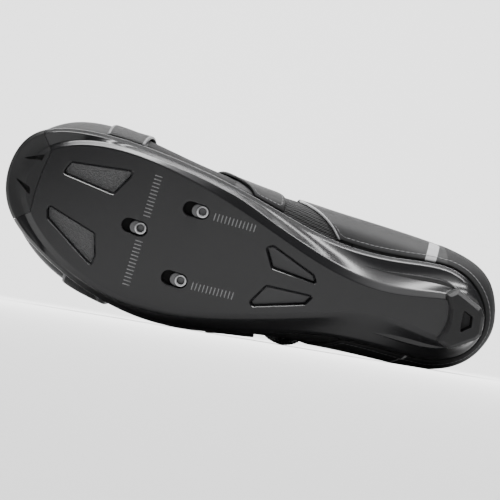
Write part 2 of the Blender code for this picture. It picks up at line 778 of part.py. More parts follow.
def shell_mesh(outer, inner, crown):
    """Points and faces of the wall: its two skins, its foot rim and its collar rim."""
    count, rows = outer.shape[:2]
    outside = skin(outer)
    inside = {key: value + count * rows for key, value in outside.items()}
    faces = skin_faces(outside, count, rows) + [face[::-1] for face in skin_faces(inside, count, rows)]
    first = round(ridge_share() * STATIONS)
    for k in range(count):
        after = (k + 1) % count
        faces.append((outside[(after, 0)], outside[(k, 0)], inside[(k, 0)], inside[(after, 0)]))
        if first <= k < count - first:
            continue
        lip = [2 * count * rows + (first if i == count - first else i) for i in (k, after)]
        faces.append((outside[(k, rows - 1)], outside[(after, rows - 1)], lip[1], lip[0]))
        faces.append((lip[0], lip[1], inside[(after, rows - 1)], inside[(k, rows - 1)]))
    return tidy_mesh(np.concatenate([outer.reshape(-1, 3), inner.reshape(-1, 3), crown]), faces)


def tidy_mesh(points, faces):
    """The points that faces use, and the faces with repeated corners and empty faces dropped."""
    used = sorted({i for face in faces for i in face})
    place = {old: new for new, old in enumerate(used)}
    faces = [tuple(dict.fromkeys(place[i] for i in face)) for face in faces]
    return points[used], [face for face in faces if len(face) > 2]


def upper_form(name, out):
    """The upper as a filled form, grown by out, from which what sits on it is cut."""
    grid = wall_grid(out)
    count, rows = grid.shape[:2]
    at = skin(grid)
    faces = skin_faces(at, count, rows)
    for k in range(1, STATIONS):
        faces.append((at[(k, 0)], at[(k - 1, 0)], at[((count - k + 1) % count, 0)], at[(count - k, 0)]))
    faces.append((at[(STATIONS, 0)], at[(STATIONS - 1, 0)], at[(STATIONS + 1, 0)]))
    for k in range(1, round(ridge_share() * STATIONS) + 1):
        left, right = (count - k + 1) % count, count - k
        faces.append((at[(k - 1, rows - 1)], at[(k, rows - 1)], at[(right, rows - 1)], at[(left, rows - 1)]))
    return helper(solid(name, *tidy_mesh(grid.reshape(-1, 3), faces), None))


def sheet(name, inside, outside, look):
    """A closed sheet between two grids of points of the same shape."""
    rows, cols = inside.shape[:2]
    low = np.arange(rows * cols).reshape(rows, cols)
    high = low + rows * cols
    faces = []
    for i in range(rows - 1):
        for j in range(cols - 1):
            a, b, c, d = low[i, j], low[i + 1, j], low[i + 1, j + 1], low[i, j + 1]
            faces += [(a, b, c), (a, c, d)]
            a, b, c, d = high[i, j], high[i, j + 1], high[i + 1, j + 1], high[i + 1, j]
            faces += [(a, b, c), (a, c, d)]
    rim = [(i, 0) for i in range(rows)] + [(rows - 1, j) for j in range(1, cols)]
    rim += [(i, cols - 1) for i in range(rows - 2, -1, -1)] + [(0, j) for j in range(cols - 2, 0, -1)]
    for k, here in enumerate(rim):
        after = rim[(k + 1) % len(rim)]
        faces.append((low[here], high[here], high[after], low[after]))
    points = np.concatenate([inside.reshape(-1, 3), outside.reshape(-1, 3)])
    return solid(name, points, [tuple(int(i) for i in face) for face in faces], look)


def soft_edge(shape, thick, share=0.55):
    """Thickness over a sheet's grid, thinner along its edges."""
    grid = np.full(shape, thick)
    grid[[0, -1], :] *= share
    grid[:, [0, -1]] *= share
    return grid


def overlay(name, turn, climb, thick, look):
    """A sheet laid on the upper: cut between the upper grown by the gap and a sheet above it."""
    turn, climb = np.broadcast_arrays(turn, climb)
    high = off_wall(turn, climb, GAP + soft_edge(turn.shape, thick))
    made = sheet(name, off_wall(turn, climb, -WALL / 2), high, look)
    boolean(made, bpy.data.objects.get("upper_seat") or upper_form("upper_seat", GAP))
    return made


def quarter_panel(look):
    """The smooth panel that wraps the heel and leaves both sides along a slanted front edge."""
    given = column(QUARTER_ROWS, QUARTER_COLUMNS, "climb")
    climb = wall_levels(given[0], given[-1])
    front_in = np.interp(climb, given, column(QUARTER_ROWS, QUARTER_COLUMNS, "front_in"))
    front_out = np.interp(climb, given, column(QUARTER_ROWS, QUARTER_COLUMNS, "front_out"))
    inner, outer = turn_at(front_in * LENGTH, climb), turn_at(front_out * LENGTH, climb, -1)
    turn = outer + (inner - outer) * np.linspace(0, 1, PANEL_STEPS)[:, None]
    return overlay("quarter_panel", turn, climb[None, :], PANEL, look)


def forefoot_strap(look):
    """The strap that crosses the vamp from one sole edge to the other."""
    levels = wall_levels(STRAP_FOOT)
    climb = np.concatenate([levels, levels[-2::-1]])
    side = np.where(np.arange(len(climb)) < len(levels), 1, -1)
    across = 0.5 - 0.5 * side * (1 - climb)
    given = column(STRAP_ROWS, STRAP_COLUMNS, "across")
    rear, front = (np.interp(across, given, column(STRAP_ROWS, STRAP_COLUMNS, n)) * LENGTH
                   for n in ("rear", "front"))
    share = np.linspace(0, 1, STRAP_STEPS)[:, None]
    turn = turn_at(rear + (front - rear) * share, climb, side)
    return overlay("forefoot_strap", turn, climb[None, :], STRAP, look)


def instep_wing(name, rows, side, look):
    """A wing of the closure: it rises from the sole edge to the throat and carries a wire guide."""
    given = column(rows, WING_COLUMNS, "climb")
    climb = wall_levels(given[0], given[-1])
    rear, front = (np.interp(climb, given, column(rows, WING_COLUMNS, n)) * LENGTH for n in ("rear", "front"))
    share = np.linspace(0, 1, STRAP_STEPS)[:, None]
    turn = turn_at(rear + (front - rear) * share, climb, side)
    return overlay(name, turn, climb[None, :], WING, look)


def tongue(look):
    """The tongue: it lies under the throat and stands above the collar."""
    across = np.linspace(-1, 1, TONGUE_STEPS)
    forward = np.linspace(0, 1, TONGUE_ROWS)[:, None]
    spread = TONGUE_SPREAD * (TONGUE_TAPER + (1 - TONGUE_TAPER) * np.sqrt(forward))
    climb = 1 - spread * np.abs(across)[None, :]
    stations = TONGUE_BACK + (TONGUE_FRONT - TONGUE_BACK) * forward
    turn = turn_at(stations, climb, np.where(across < 0, -1, 1))
    depth = -WALL - 2 * GAP - TONGUE_DIP * (1 - forward) ** 2
    high = off_wall(turn, climb, depth)
    low = off_wall(turn, climb, depth - soft_edge(turn.shape, TONGUE, 0.7))
    crest = high[:, TONGUE_STEPS // 2]
    back = crest[0] - crest[1]
    back /= np.linalg.norm(back)
    top = []
    for reach, lift, narrow in ((0.4, 0.05, 0.97), (0.75, 0.25, 0.93), (1.0, 0.6, 0.8)):
        shift = back * TONGUE_TOP * reach + np.array([0, 0, TONGUE_TOP * lift * 0.7])
        pair = []
        for grid in (low, high):
            row = grid[0] + shift
            row[:, 1] = crest[0, 1] + (row[:, 1] - crest[0, 1]) * narrow
            pair.append(row)
        top.append(pair)
    low = np.concatenate([np.array([pair[0] for pair in top[::-1]]), low])
    high = np.concatenate([np.array([pair[1] for pair in top[::-1]]), high])
    return sheet("tongue", low, high, look)


def ridge_middle(x):
    """How far the ridge lies to the inner side at a distance from the heel."""
    share = column(TOP_ROWS, TOP_COLUMNS, "along") * LENGTH
    middle = column(TOP_ROWS, TOP_COLUMNS, "middle") * BALL_WIDTH
    order = np.argsort(share)
    return np.interp(x, share[order], middle[order])


def throat_line():
    """The throat's outline from above: open at the collar, round at its front."""
    front = THROAT_FRONT - THROAT_HALF
    line = []
    for side in (-1, 1):
        edge = []
        for x, wide in ((THROAT_BACK - THROAT_HALF, 1.6), (THROAT_BACK + THROAT_HALF, 1.5), (THROAT_MIDDLE, 1.2)):
            edge.append((x, ridge_middle(x) + side * wide * THROAT_HALF))
        line += edge if side == -1 else edge[::-1]
        for k in range(11 if side == -1 else 0):
            angle = math.pi * (k / 10 - 0.5)
            line.append((front + THROAT_HALF * math.cos(angle), ridge_middle(front) + THROAT_HALF * math.sin(angle)))
    return line


def dial_frame():
    """The centre of the dial's seat on the wall, and the directions across, up and out of it."""
    seat = off_wall(turn_at(DIAL_X, [DIAL_CLIMB], -1), [DIAL_CLIMB], 0.0)[0]
    tilt = math.radians(DIAL_TILT)
    return seat, np.array([1, 0, 0]), np.array([0, math.sin(tilt), math.cos(tilt)]), np.array(
        [0, -math.cos(tilt), math.sin(tilt)])


def turned(name, centre, axes, profile, look, count=24, shape=None):
    """A closed body from rings: profile gives radius and height along the last axis."""
    first, second, out = axes
    angles = 2 * math.pi * np.arange(count) / count
    scale = np.ones(count) if shape is None else shape
    rings = []
    for radius, height in profile:
        flat = np.outer(np.cos(angles) * scale, first) + np.outer(np.sin(angles) * scale, second)
        rings.append(centre + flat * radius + out * height)
    faces = [tuple(range(count)), tuple(range((len(rings) - 1) * count, len(rings) * count))]
    for row in range(len(rings) - 1):
        a, b = row * count, (row + 1) * count
        faces += [(a + k, a + (k + 1) % count, b + (k + 1) % count, b + k) for k in range(count)]
    return solid(name, np.concatenate(rings), faces, look)


def dial_base(look, lace_path):
    """The dial's base plate, its underside cut to the quarter panel that it sits on and notched for the wire."""
    seat, *axes = dial_frame()
    floor = GAP + PANEL + GAP
    profile = ((BASE_RADIUS, -BASE_RADIUS / 2), (BASE_RADIUS, BASE_HEIGHT - FIT_EDGE),
               (BASE_RADIUS - FIT_EDGE, BASE_HEIGHT))
    base = turned("dial_base", seat, axes, profile, look, 36)
    boolean(base, upper_form("dial_base_seat", floor))
    start, ahead = lace_path[0], lace_path[1] - lace_path[0]
    ahead = ahead / np.linalg.norm(ahead)
    beside = np.cross(ahead, axes[2]) * (LACE / 2 + GAP)
    ends = [start - ahead * (LACE / 2 + GAP) + s * beside for s in (-1, 1)]
    ends += [start + ahead * BASE_RADIUS + s * beside for s in (1, -1)]
    roof = axes[2] * (LACE / 2 + GAP)
    corners = [end - axes[2] * BASE_RADIUS for end in ends] + [end + roof for end in ends]
    sides = [(k, (k + 1) % 4, 4 + (k + 1) % 4, 4 + k) for k in range(4)]
    boolean(base, helper(solid("lace_notch", corners, [(0, 1, 2, 3), (4, 5, 6, 7), *sides], None)))
    return base


def dial(look):
    """The knurled knob, with a shallow dished face."""
    seat, *axes = dial_frame()
    low = BASE_HEIGHT + GAP
    high = low + DIAL_HEIGHT
    count = 2 * KNURLS
    rim = 1 - (np.arange(count) % 2) * KNURL_DEPTH / DIAL_RADIUS
    edge = DIAL_RADIUS - DIAL_CHAMFER
    profile = ((edge, low), (DIAL_RADIUS, low + DIAL_CHAMFER), (DIAL_RADIUS, high - DIAL_CHAMFER),
               (edge, high), (edge * 0.8, high), (edge * 0.76, high - KNURL_DEPTH))
    return turned("dial", seat, axes, profile, look, count, rim)


def tube(name, path, radius, look, sides=6):
    """A round cord along a path of points."""
    path = [np.array(point, float) for point in path]
    rings = []
    across = None
    for k, point in enumerate(path):
        run = path[min(k + 1, len(path) - 1)] - path[max(k - 1, 0)]
        run /= np.linalg.norm(run)
        if across is None:
            across = np.cross(run, [0, 0, 1])
        across = across - run * (across @ run)
        across /= np.linalg.norm(across)
        other = np.cross(run, across)
        turns = 2 * math.pi * np.arange(sides) / sides
        rings.append(point + radius * (np.outer(np.cos(turns), across) + np.outer(np.sin(turns), other)))
    faces = [tuple(range(sides)), tuple(range((len(rings) - 1) * sides, len(rings) * sides))]
    for row in range(len(rings) - 1):
        a, b = row * sides, (row + 1) * sides
        faces += [(a + k, a + (k + 1) % sides, b + (k + 1) % sides, b + k) for k in range(sides)]
    return solid(name, np.concatenate(rings), faces, look)


def guide_height(row):
    """How far a wire guide's underside lies off the wall: a gap over the sheet that carries it."""
    seat = row[GUIDE_COLUMNS.index("seat")]
    return GAP + (seat + GAP if seat else 0)


def guide_frame(row):
    """A wire guide's seat on the closure, with the directions along, across to the throat, and out."""
    x, side, climb = row[:3]
    climb = np.array([climb])
    turn = turn_at(x * LENGTH, climb, side)
    out = wall_normals(turn, climb)[0]
    seat = off_wall(turn, climb, guide_height(row))[0]
    across = wall_points(turn, climb + 0.01)[0] - wall_points(turn, climb)[0]
    ahead = np.cross(across, out) * side
    ahead /= np.linalg.norm(ahead)
    return seat, ahead, np.cross(out, ahead) * side, out


def lace_guide(name, row, look):
    """A low spool that the wire turns round."""
    seat, ahead, across, out = guide_frame(row)
    middle = GUIDE_PLATE + LACE + 2 * LACE_CLEAR
    top = middle + GUIDE_PLATE
    profile = ((GUIDE_RADIUS * 0.94, 0), (GUIDE_RADIUS, GUIDE_PLATE / 2), (GUIDE_RADIUS, GUIDE_PLATE),
               (GUIDE_CORE, GUIDE_PLATE), (GUIDE_CORE, middle), (GUIDE_RADIUS, middle),
               (GUIDE_RADIUS, middle + GUIDE_PLATE / 2), (GUIDE_RADIUS * 0.9, top))
    return turned(name, seat, (ahead, across, out), profile, look, 12)


def lace_route():
    """The wire's path: out of the dial, over the tongue and round each guide in turn."""
    seat, along_x, up, out = dial_frame()
    lift = out * (BASE_HEIGHT - LACE_DROP)
    start = seat + lift + up * (BASE_RADIUS - LACE) + along_x * 2 * LACE
    path = [start, start + up * 2 * LACE + along_x * LACE / 2]
    turn_radius = GUIDE_CORE + LACE_CLEAR + LACE / 2
    middle = GUIDE_PLATE + LACE_CLEAR + LACE / 2
    exits = (DIAL_X + 3 * LACE, -1, DIAL_CLIMB + DIAL_LEAD, GAP + PANEL + GAP + LACE / 2)
    for number, row in enumerate(GUIDE_ROWS):
        place, ahead, across, normal = guide_frame(row)
        centre = place + normal * middle
        clear = across * (GUIDE_RADIUS + LACE)
        x, side, climb, base = row[0] * LENGTH, row[1], row[2] + GUIDE_LEAD, guide_height(row) + middle
        path += crossing(exits, (x - turn_radius, side, climb, base))
        path.append(centre - turn_radius * ahead + clear)
        last = number == len(GUIDE_ROWS) - 1
        for k in range(3 if last else 5):
            angle = math.pi * k / 4
            path.append(centre - turn_radius * (math.cos(angle) * ahead + math.sin(angle) * across))
        if not last:
            path.append(centre + turn_radius * ahead + clear)
        exits = (x + turn_radius, side, climb, base)
    return path


def crossing(start, end):
    """Points of the wire from one side of the throat to the other, just above the wall and tongue."""
    x0, side, climb0, out0 = start
    x1, _, climb1, out1 = end
    points = []
    for share in np.linspace(0, 1, CROSSING_STEPS + 2)[1:-1]:
        over = 2 * share - 1
        near, reach = (climb0, -over) if over < 0 else (climb1, over)
        climb = 1 - (1 - near) * reach
        level = (out0 if over < 0 else out1) * reach ** 2 + LACE_LIFT * (1 - reach ** 2)
        where = turn_at(x0 + (x1 - x0) * share, [climb], side if over <= 0 else -side)
        points.append(off_wall(where, [climb], level)[0])
    return points


def lay_down(nodes):
    """Turns the standing shoe onto its outer side and sets it on Z 0, over the origin.

    The shoe rests on the face of its convex hull that faces the outer side below its balance point.
    The sole then faces -Y and the toe points to -X.
    """
    bpy.context.view_layer.update()
    graph = bpy.context.evaluated_depsgraph_get()
    cloud = bmesh.new()
    for node in nodes:
        cloud.from_mesh(node.evaluated_get(graph).data)
    bmesh.ops.remove_doubles(cloud, verts=cloud.verts, dist=0.1 * MM)
    found = bmesh.ops.convex_hull(cloud, input=cloud.verts)["geom"]
    balance = Vector((BALANCE_X * LENGTH, 0, BALANCE_Z * INSTEP_HEIGHT))
    floor = None
    for face in (item for item in found if isinstance(item, bmesh.types.BMFace)):
        face.normal_update()
        normal = face.normal if face.normal.dot(face.calc_center_median() - balance) > 0 else -face.normal
        if normal.y > -0.8:
            continue
        foot = balance + normal * normal.dot(face.calc_center_median() - balance)
        if bmesh.geometry.intersect_face_point(face, foot) and (floor is None or face.calc_area() > floor[2]):
            floor = (normal.copy(), foot.copy(), face.calc_area())
    up = -floor[0]
    side = Vector((-1, 0, 0))
    side = (side - up * side.dot(up)).normalized()
    turn = Matrix((side, up.cross(side), up)).to_4x4()
    cloud.transform(turn)
    low = Vector(min(v.co[i] for v in cloud.verts) for i in range(3))
    high = Vector(max(v.co[i] for v in cloud.verts) for i in range(3))
    cloud.free()
    shift = Matrix.Translation((-(low.x + high.x) / 2, -(low.y + high.y) / 2, -low.z))
    shoe = bpy.data.objects.new("shoe", None)
    bpy.context.scene.collection.objects.link(shoe)
    for item in bpy.data.objects:
        if item.type == "MESH":
            item.parent = shoe
    shoe.matrix_world = shift @ turn


def clear_scene():
    """Removes what the file opened with."""
    for old in list(bpy.data.objects):
        bpy.data.objects.remove(old)


def main():
    """Builds the shoe standing, then lays it on its side."""
    clear_scene()
    composite = material("sole_composite", (0.035, 0.036, 0.038), 0.35)
    rubber = material("pad_rubber", (0.022, 0.022, 0.023), 0.7)
    steel = material("nut_steel", (0.35, 0.35, 0.36), 0.35, 0.9)
    leather = material("upper_microfibre", (0.045, 0.046, 0.048), 0.55)
    panel = material("panel_microfibre", (0.055, 0.056, 0.058), 0.45)
    strap = material("strap_microfibre", (0.045, 0.046, 0.048), 0.5)
    lining = material("footbed_foam", (0.05, 0.05, 0.052), 0.9)
    textile = material("tongue_mesh", (0.03, 0.03, 0.031), 0.9)
    plastic = material("dial_plastic", (0.03, 0.03, 0.031), 0.4)
    wire = material("lace_wire", (0.08, 0.08, 0.082), 0.4)
    path = lace_route()
    nodes = [outsole(composite), toe_pad(rubber), heel_pad(rubber), insole(lining), upper(leather)]
    nodes += [cleat_nut(f"cleat_nut_{name}", where, steel) for name, where in CLEAT_SLOTS.items()]
    nodes += [quarter_panel(panel), tongue(textile), forefoot_strap(strap)]
    nodes += [instep_wing("instep_wing_inner", WING_IN_ROWS, 1, panel)]
    nodes += [instep_wing("instep_wing_outer", WING_OUT_ROWS, -1, panel)]
    nodes += [dial_base(plastic, path), dial(plastic), tube("lace", path, LACE / 2, wire)]
    nodes += [lace_guide(f"lace_guide_{k + 1}", row, plastic) for k, row in enumerate(GUIDE_ROWS)]
    lay_down(nodes)


main()
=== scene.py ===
"""Looks and studio for the road cycling shoe, which lies on its outer side with its sole to the camera.

Every piece is drawn in the standing shoe's frame, as the solids were (x from heel to toe, y to the inner
side, z up, heel pad on z 0), and LYING then puts it where the solids lie.
"""
import logging
import math
from collections.abc import Callable
from dataclasses import dataclass
from enum import Enum

import bpy
import numpy as np
from mathutils import Matrix, Vector

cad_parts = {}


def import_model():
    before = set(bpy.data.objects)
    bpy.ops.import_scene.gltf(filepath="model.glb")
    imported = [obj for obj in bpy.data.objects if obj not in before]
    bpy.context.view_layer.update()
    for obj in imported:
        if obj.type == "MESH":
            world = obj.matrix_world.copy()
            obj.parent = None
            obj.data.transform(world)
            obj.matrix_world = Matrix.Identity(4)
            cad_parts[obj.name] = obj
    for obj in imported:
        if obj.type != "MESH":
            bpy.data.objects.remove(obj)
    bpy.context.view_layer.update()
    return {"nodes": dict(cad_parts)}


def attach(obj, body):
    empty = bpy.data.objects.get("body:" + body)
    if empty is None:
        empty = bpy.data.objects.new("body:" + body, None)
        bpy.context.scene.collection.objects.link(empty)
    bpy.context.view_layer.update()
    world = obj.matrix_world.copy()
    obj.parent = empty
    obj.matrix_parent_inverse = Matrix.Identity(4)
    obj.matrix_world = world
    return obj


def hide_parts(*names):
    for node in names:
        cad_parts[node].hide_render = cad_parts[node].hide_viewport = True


LOG = logging.getLogger("shoe")
MM = 0.001
BODY = "root"
Row = tuple[float, ...]
Table = tuple[Row, ...]
Array = np.ndarray
Piece = bpy.types.Object
Skin = bpy.types.Material
Socket = bpy.types.NodeSocket
Ring = Callable[[Array], Array]
Block = Callable[[str, Array, float, float], Piece]

# How the solids lie: turned onto the outer side, the toe raised, and the standing origin's place
LIE_ROLL = 6.9632
LIE_RISE = 5.9111
LIE_AT = (140.461 * MM, -52.312 * MM, 29.499 * MM)


def lying(roll: float, rise: float, place: Row) -> Array:
    """The move from the standing shoe's frame to the frame that the solids lie in.

    Args:
        roll: Degrees by which the sole leans from upright.
        rise: Degrees by which the toe end is raised from level.
        place: Where the standing origin comes to lie.

    Returns:
        Three rows of a turn and a shift.
    """
    a, b = math.radians(roll), math.radians(rise)
    return np.array((
        (-math.cos(b), math.sin(b) * math.cos(a), math.sin(b) * math.sin(a), place[0]),
        (0.0, -math.sin(a), math.cos(a), place[1]),
        (math.sin(b), math.cos(b) * math.cos(a), math.cos(b) * math.sin(a), place[2]),
    ))


LYING = lying(LIE_ROLL, LIE_RISE, LIE_AT)

# Ring shares run from 0 at the heel to 1 at the toe. Widths are shares of the ball's width.
SOLE_COLUMNS = ("ring", "edge_in", "edge_out", "tread_in", "tread_out", "top_in", "top_out")
SOLE_ROWS: Table = (
    (0.0, -0.060, -0.060, -0.045, -0.045, 0.90, 0.90),
    (0.1, 0.110, -0.220, 0.050, -0.140, 0.90, 0.90),
    (0.2, 0.219, -0.312, 0.045, -0.143, 0.90, 0.90),
    (0.3, 0.195, -0.320, 0.004, -0.126, 0.94, 0.90),
    (0.4, 0.202, -0.357, 0.058, -0.218, 0.97, 0.86),
    (0.5, 0.310, -0.457, 0.200, -0.327, 0.75, 0.62),
    (0.6, 0.400, -0.494, 0.320, -0.396, 0.50, 0.44),
    (0.7, 0.437, -0.413, 0.373, -0.358, 0.46, 0.46),
    (0.8, 0.410, -0.273, 0.343, -0.240, 0.60, 0.60),
    (0.9, 0.300, -0.115, 0.240, -0.080, 0.83, 0.83),
    (1.0, 0.090, 0.090, 0.090, 0.090, 1.00, 1.00),
)
BOTTOM_COLUMNS = ("along", "arch", "spring")
BOTTOM_ROWS: Table = (
    (0.00, 0.55, 0.00),
    (0.07, 0.55, 0.00),
    (0.14, 0.65, 0.00),
    (0.24, 0.90, 0.00),
    (0.32, 0.94, 0.00),
    (0.42, 0.68, 0.00),
    (0.50, 0.36, 0.00),
    (0.58, 0.08, 0.00),
    (0.62, 0.00, 0.00),
    (0.66, -0.02, 0.00),
    (0.71, 0.00, 0.00),
    (0.75, 0.00, 0.05),
    (0.80, 0.00, 0.14),
    (0.86, 0.00, 0.30),
    (0.93, 0.00, 0.56),
    (1.00, 0.00, 0.90),
)
UPPER_COLUMNS = ("ring", "wide_in", "wide_out", "wide_height")
UPPER_ROWS: Table = (
    (0.00, -0.050, -0.050, 0.42),
    (0.05, 0.055, -0.140, 0.42),
    (0.10, 0.165, -0.235, 0.42),
    (0.20, 0.280, -0.360, 0.43),
    (0.30, 0.314, -0.393, 0.45),
    (0.40, 0.328, -0.414, 0.46),
    (0.50, 0.350, -0.455, 0.38),
    (0.60, 0.410, -0.476, 0.29),
    (0.70, 0.475, -0.455, 0.28),
    (0.80, 0.448, -0.335, 0.32),
    (0.90, 0.310, -0.135, 0.35),
    (0.95, 0.215, -0.025, 0.355),
    (1.00, 0.090, 0.090, 0.36),
)
TOP_COLUMNS = ("ring", "along", "middle", "half", "height", "facing", "lean")
TOP_ROWS: Table = (
    (0.00, 0.018, -0.045, 0.000, 0.905, 180, 84),
    (0.05, 0.021, -0.045, 0.070, 0.900, 150, 84),
    (0.10, 0.033, -0.045, 0.145, 0.880, 125, 84),
    (0.15, 0.060, -0.045, 0.220, 0.840, 105, 84),
    (0.20, 0.100, -0.044, 0.270, 0.780, 95, 84),
    (0.25, 0.150, -0.042, 0.300, 0.735, 90, 84),
    (0.30, 0.210, -0.040, 0.310, 0.730, 90, 82),
    (0.35, 0.270, -0.036, 0.298, 0.785, 90, 76),
    (0.40, 0.325, -0.030, 0.250, 0.880, 90, 62),
    (0.45, 0.370, -0.024, 0.150, 0.970, 90, 30),
    (0.50, 0.393, -0.018, 0.000, 1.000, 90, 0),
    (0.60, 0.535, 0.000, 0.000, 0.790, 90, 0),
    (0.70, 0.685, 0.026, 0.000, 0.590, 90, 0),
    (0.80, 0.820, 0.052, 0.000, 0.490, 90, 0),
    (0.90, 0.900, 0.076, 0.000, 0.455, 75, 0),
    (1.00, 0.930, 0.085, 0.000, 0.440, 0, 0),
)

# Flat outlines on the sole, as shares of the shoe's length along and of the ball's width across
WINDOWS: dict[str, Table] = {
    "front_in": ((0.8877, 0.170), (0.8772, 0.240), (0.7544, 0.285), (0.7579, 0.245), (0.7807, 0.135)),
    "front_out": ((0.9000, -0.020), (0.7965, -0.100), (0.7842, -0.220), (0.7877, -0.275), (0.8930, -0.095)),
    "arch_in": ((0.4719, 0.070), (0.4596, 0.090), (0.3702, -0.010), (0.3596, -0.055), (0.4509, -0.030)),
    "arch_out": ((0.4526, -0.132), (0.3596, -0.125), (0.3719, -0.180), (0.4684, -0.260), (0.4754, -0.240)),
}
TOE_PAD_LINE: Table = (
    (0.9481, 0.370), (0.9193, 0.265), (0.9270, 0.140), (0.9305, 0.020), (0.9298, -0.090), (0.9632, -0.165),
)
TOE_GROOVES: tuple[Table, ...] = (
    ((0.9754, 0.182), (0.9305, 0.238), (0.9340, 0.202)),
    ((0.9807, 0.070), (0.9439, 0.042), (0.9404, 0.000)),
)
HEEL_PAD_LINE: Table = (
    (0.1165, 0.085), (0.0982, 0.130), (0.0456, 0.065), (0.0358, 0.025), (0.0316, -0.080), (0.0386, -0.110),
    (0.0825, -0.198), (0.1109, -0.175), (0.1028, -0.110), (0.0996, -0.050), (0.1032, 0.015),
)
HEEL_HOLE_LINE: Table = ((0.0772, 0.030), (0.0582, 0.008), (0.0554, -0.048), (0.0730, -0.092))
CLEAT_SLOTS: dict[str, Row] = {"front": (0.7256, -0.005), "inner": (0.6193, 0.170), "outer": (0.6256, -0.223)}

# Overlays: climb and across run over the upper's wall, and rear and front are shares of the length
QUARTER_COLUMNS = ("climb", "front_in", "front_out")
QUARTER_ROWS: Table = (
    (0.02, 0.340, 0.282),
    (0.09, 0.362, 0.303),
    (0.17, 0.392, 0.327),
    (0.25, 0.418, 0.348),
    (0.40, 0.432, 0.380),
    (0.56, 0.434, 0.428),
    (0.72, 0.430, 0.440),
    (0.86, 0.395, 0.400),
    (0.95, 0.355, 0.360),
)
STRAP_COLUMNS = ("across", "rear", "front")
STRAP_ROWS: Table = (
    (0.000, 0.750, 0.825),
    (0.125, 0.742, 0.820),
    (0.300, 0.725, 0.806),
    (0.500, 0.712, 0.796),
    (0.700, 0.726, 0.816),
    (0.875, 0.745, 0.837),
    (1.000, 0.763, 0.836),
)
WING_COLUMNS = ("climb", "rear", "front")
WING_IN_ROWS: Table = (
    (0.02, 0.458, 0.520),
    (0.12, 0.458, 0.535),
    (0.25, 0.465, 0.565),
    (0.40, 0.480, 0.590),
    (0.55, 0.500, 0.606),
    (0.68, 0.520, 0.606),
    (0.76, 0.530, 0.596),
)
WING_OUT_ROWS: Table = (
    (0.02, 0.455, 0.540),
    (0.12, 0.450, 0.545),
    (0.25, 0.450, 0.545),
    (0.40, 0.458, 0.548),
    (0.55, 0.468, 0.552),
    (0.68, 0.476, 0.545),
    (0.76, 0.482, 0.538),
)
GUIDE_COLUMNS = ("along", "side", "climb", "seat")
GUIDE_ROWS: Table = (
    (0.415, 1, 0.73, 0.9 * MM),
    (0.510, -1, 0.70, 1.6 * MM),
    (0.565, 1, 0.70, 1.6 * MM),
    (0.640, -1, 0.72, 0.0),
)

# Soft creases of the upper: share of the length, climb, side (0 for both), depth, half widths along and up
CREASE_ROWS: Table = (
    (0.600, 0.95, 0, 0.9 * MM, 5 * MM, 0.22),
    (0.660, 0.97, 0, -0.7 * MM, 6 * MM, 0.20),
    (0.705, 0.70, 1, 0.8 * MM, 4 * MM, 0.18),
    (0.700, 0.66, -1, 0.8 * MM, 4 * MM, 0.18),
    (0.865, 0.92, 0, 0.6 * MM, 6 * MM, 0.25),
    (0.340, 0.62, 1, 0.8 * MM, 6 * MM, 0.16),
    (0.350, 0.60, -1, 0.8 * MM, 6 * MM, 0.16),
    (0.090, 0.72, 0, 0.7 * MM, 12 * MM, 0.07),
)


def column(rows: Table, columns: tuple[str, ...], name: str) -> Array:
    """One named column of a table."""
    return np.array([row[columns.index(name)] for row in rows], float)


def spline(knots: Array, values: Array, at: Array, period: float = 0.0) -> Array:
    """A smooth cubic through the knots.

    Args:
        knots: Places where the values are given.
        values: The values there.
        at: Places to read.
        period: If it isn't 0, the curve closes into a ring of that length.

    Returns:
        The values at those places.
    """
    knots, values = np.asarray(knots, float), np.asarray(values, float)
    if period:
        knots = np.concatenate([knots[-3:] - period, knots, knots[:3] + period])
        values = np.concatenate([values[-3:], values, values[:3]])
    count = len(knots)
    step = np.diff(knots)
    rise = np.diff(values) / step
    matrix, right = np.eye(count), np.zeros(count)
    for i in range(1, count - 1):
        matrix[i, i - 1:i + 2] = step[i - 1], 2 * (step[i - 1] + step[i]), step[i]
        right[i] = 6 * (rise[i] - rise[i - 1])
    bend = np.linalg.solve(matrix, right)
    cell = np.clip(np.searchsorted(knots, at) - 1, 0, count - 2)
    h, a = step[cell], (at - knots[cell])
    b = h - a
    curved = (bend[cell] * b ** 3 + bend[cell + 1] * a ** 3) / (6 * h)
    left = (values[cell] / h - bend[cell] * h / 6) * b
    return curved + left + (values[cell + 1] / h - bend[cell + 1] * h / 6) * a


def around(ring: Array, inner: Array, outer: Array, turn: Array) -> Array:
    """A quantity round the shoe at the places turn: 0 heel, 1 toe, then back to 2 along the outer side."""
    knots = np.concatenate([ring, 2 - ring[-2:0:-1]])
    values = np.concatenate([inner, outer[-2:0:-1]])
    return spline(knots, values, turn % 2, 2.0)


def along(start: float, length: float, turn: Array) -> Array:
    """Distance from the heel at each place round a ring."""
    return start + length * (1 - np.cos(math.pi * turn)) / 2


def bezier(points: tuple[Array, ...], share: Array) -> Array:
    """A cubic curve between the first and last of four arrays of points."""
    a, b, c, d = points
    t, u = share, 1 - share
    return u ** 3 * a + 3 * u * u * t * b + 3 * u * t * t * c + t ** 3 * d


def unit(vectors: Array) -> Array:
    """The same directions, one long."""
    return vectors / np.maximum(np.linalg.norm(vectors, axis=-1, keepdims=True), 1e-12)


